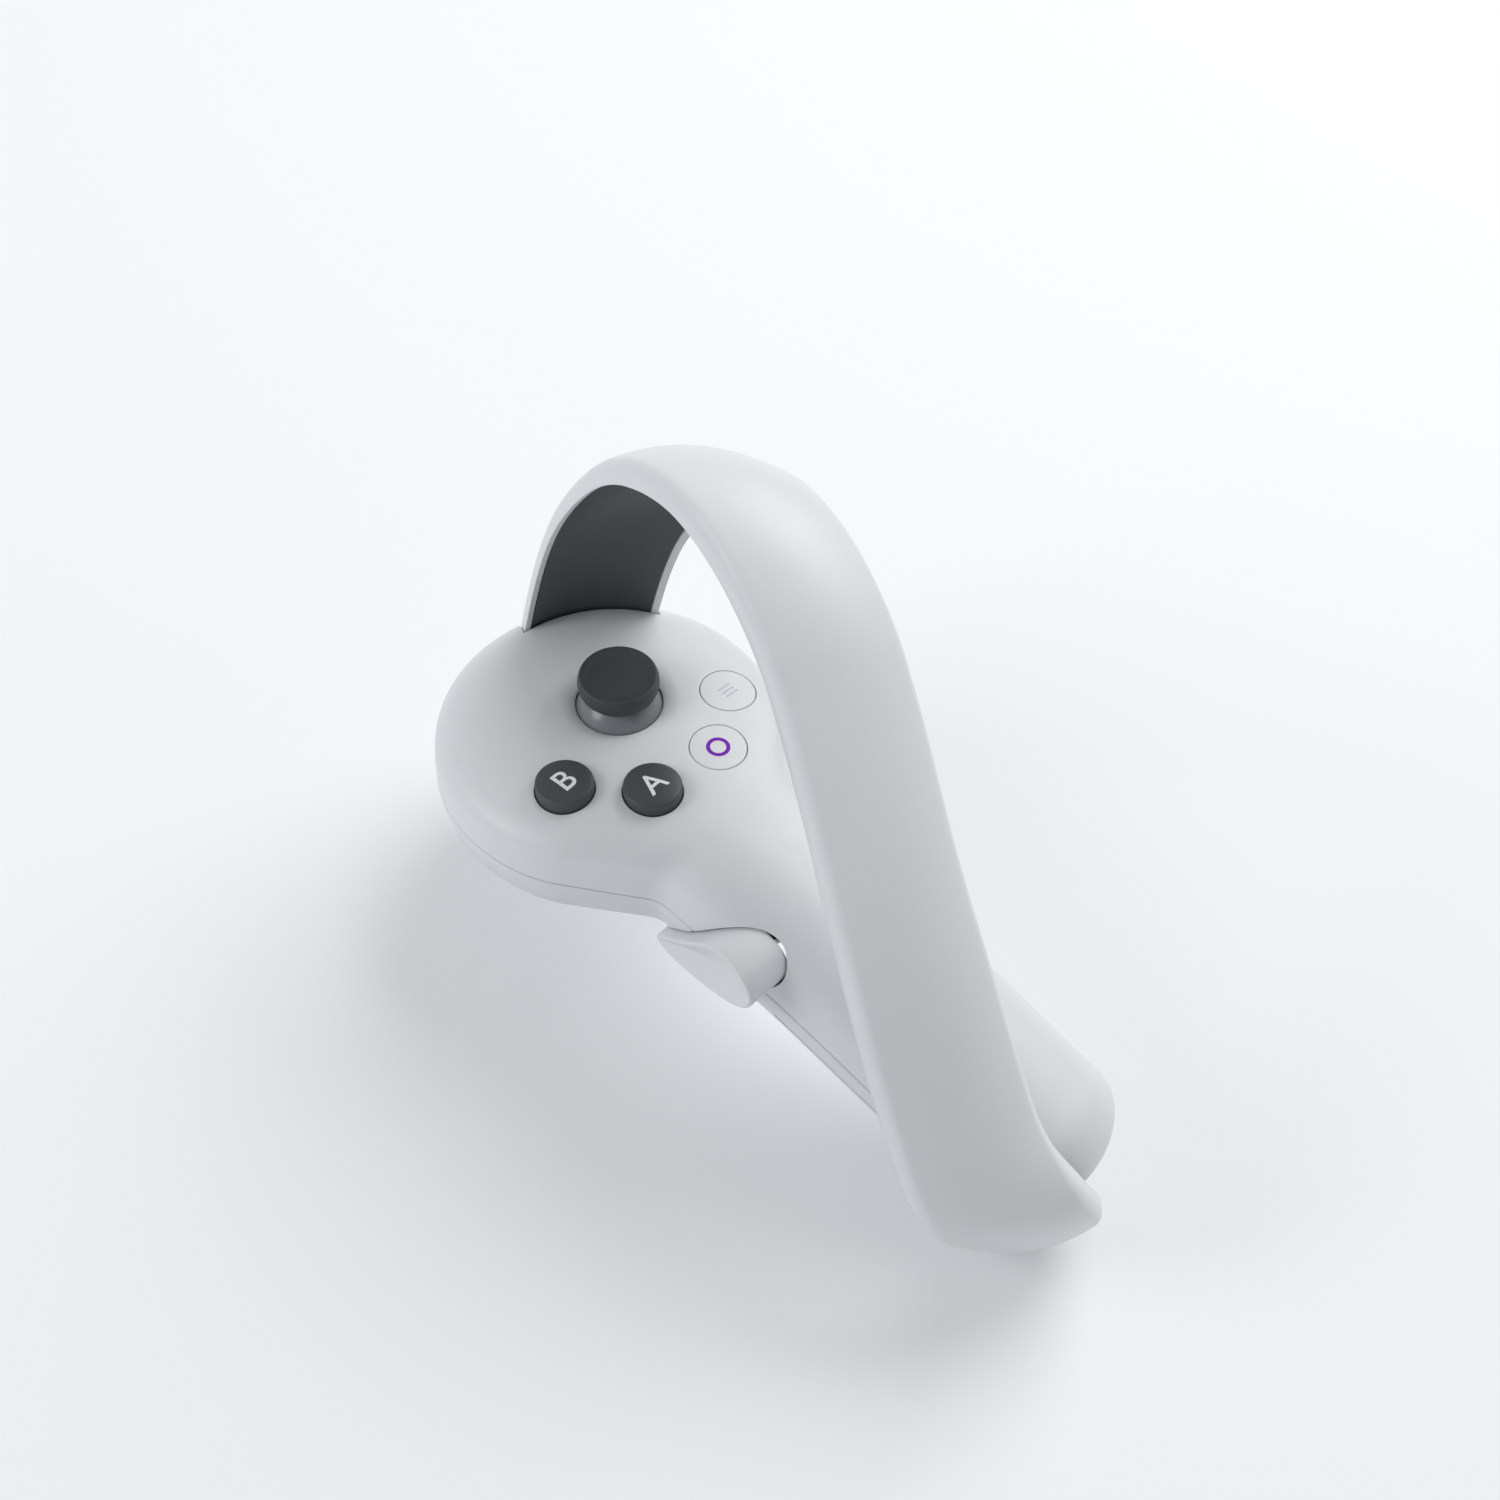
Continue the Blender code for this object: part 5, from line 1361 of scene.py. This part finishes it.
studio = {
    "floorSize": 6.0, "lens": 90.0, "sensor": 36.0, "eye": (-318.8, -324.5, 516.7),
    "turn": -47.5, "tilt": 48.6, "worldStrength": 0.46, "floorGlow": 0.11, "target": (0.0, 0.0, 0.03),
    # place in metres, size, power and colour
    "lights": {
        "key": ((0.75, 0.10, 0.85), 0.95, 8.1, (1.0, 1.0, 1.0)),
        "fill": ((-0.7, 0.5, 0.5), 0.5, 2.6, (0.96, 0.98, 1.0)),
    },
}


def makeStage():
    floorFinish, shader, place = newFinish("paleFloor", Roughness=0.9)
    shader.inputs["Emission Color"].default_value = (0.97, 0.985, 1.0, 1.0)
    shader.inputs["Emission Strength"].default_value = studio["floorGlow"]
    soft = place.noise(3.0, 3.0, 0.5)
    feed(shader, soft.blend((0.80, 0.815, 0.825), (0.81, 0.825, 0.835)), "Base Color")
    half = studio["floorSize"] / 2
    mesh = bpy.data.meshes.new("floor")
    mesh.from_pydata([(-half, -half, 0), (half, -half, 0), (half, half, 0), (-half, half, 0)], [], [(0, 1, 2, 3)])
    mesh.materials.append(floorFinish)
    floor = placed("floor", mesh)
    world = bpy.data.worlds.new("studio")
    world.use_nodes = True
    back = world.node_tree.nodes["Background"]
    back.inputs["Color"].default_value = (0.95, 0.965, 0.985, 1.0)
    back.inputs["Strength"].default_value = studio["worldStrength"]
    bpy.context.scene.world = world
    bpy.context.scene.view_settings.view_transform = "Standard"


def softLight(name, place, size, energy, colour):
    light = bpy.data.lights.new(name, "AREA")
    light.shape, light.size, light.energy, light.color = "DISK", size, energy, colour
    lamp = placed(name, light)
    lamp.location = place
    lamp.rotation_euler = (Vector(place) - Vector(studio["target"])).to_track_quat("Z", "Y").to_euler()


def makeCamera():
    camera = bpy.data.cameras.new("camera")
    camera.lens, camera.sensor_width, camera.clip_start = studio["lens"], studio["sensor"], 0.02
    turn, tilt = math.radians(studio["turn"]), math.radians(studio["tilt"])
    back = Vector((math.sin(turn) * math.cos(tilt), -math.cos(turn) * math.cos(tilt), math.sin(tilt)))
    right = Vector((math.cos(turn), math.sin(turn), 0.0))
    look = Matrix((right, back.cross(right), back)).transposed().to_4x4()
    eye = placed("camera", camera)
    eye.matrix_world = Matrix.Translation(toRow @ Vector(studio["eye"])) @ leanTurn @ look
    bpy.context.scene.camera = eye


makeStage()
for lightName, settings in studio["lights"].items():
    softLight(lightName, *settings)
makeCamera()
print("studio made")
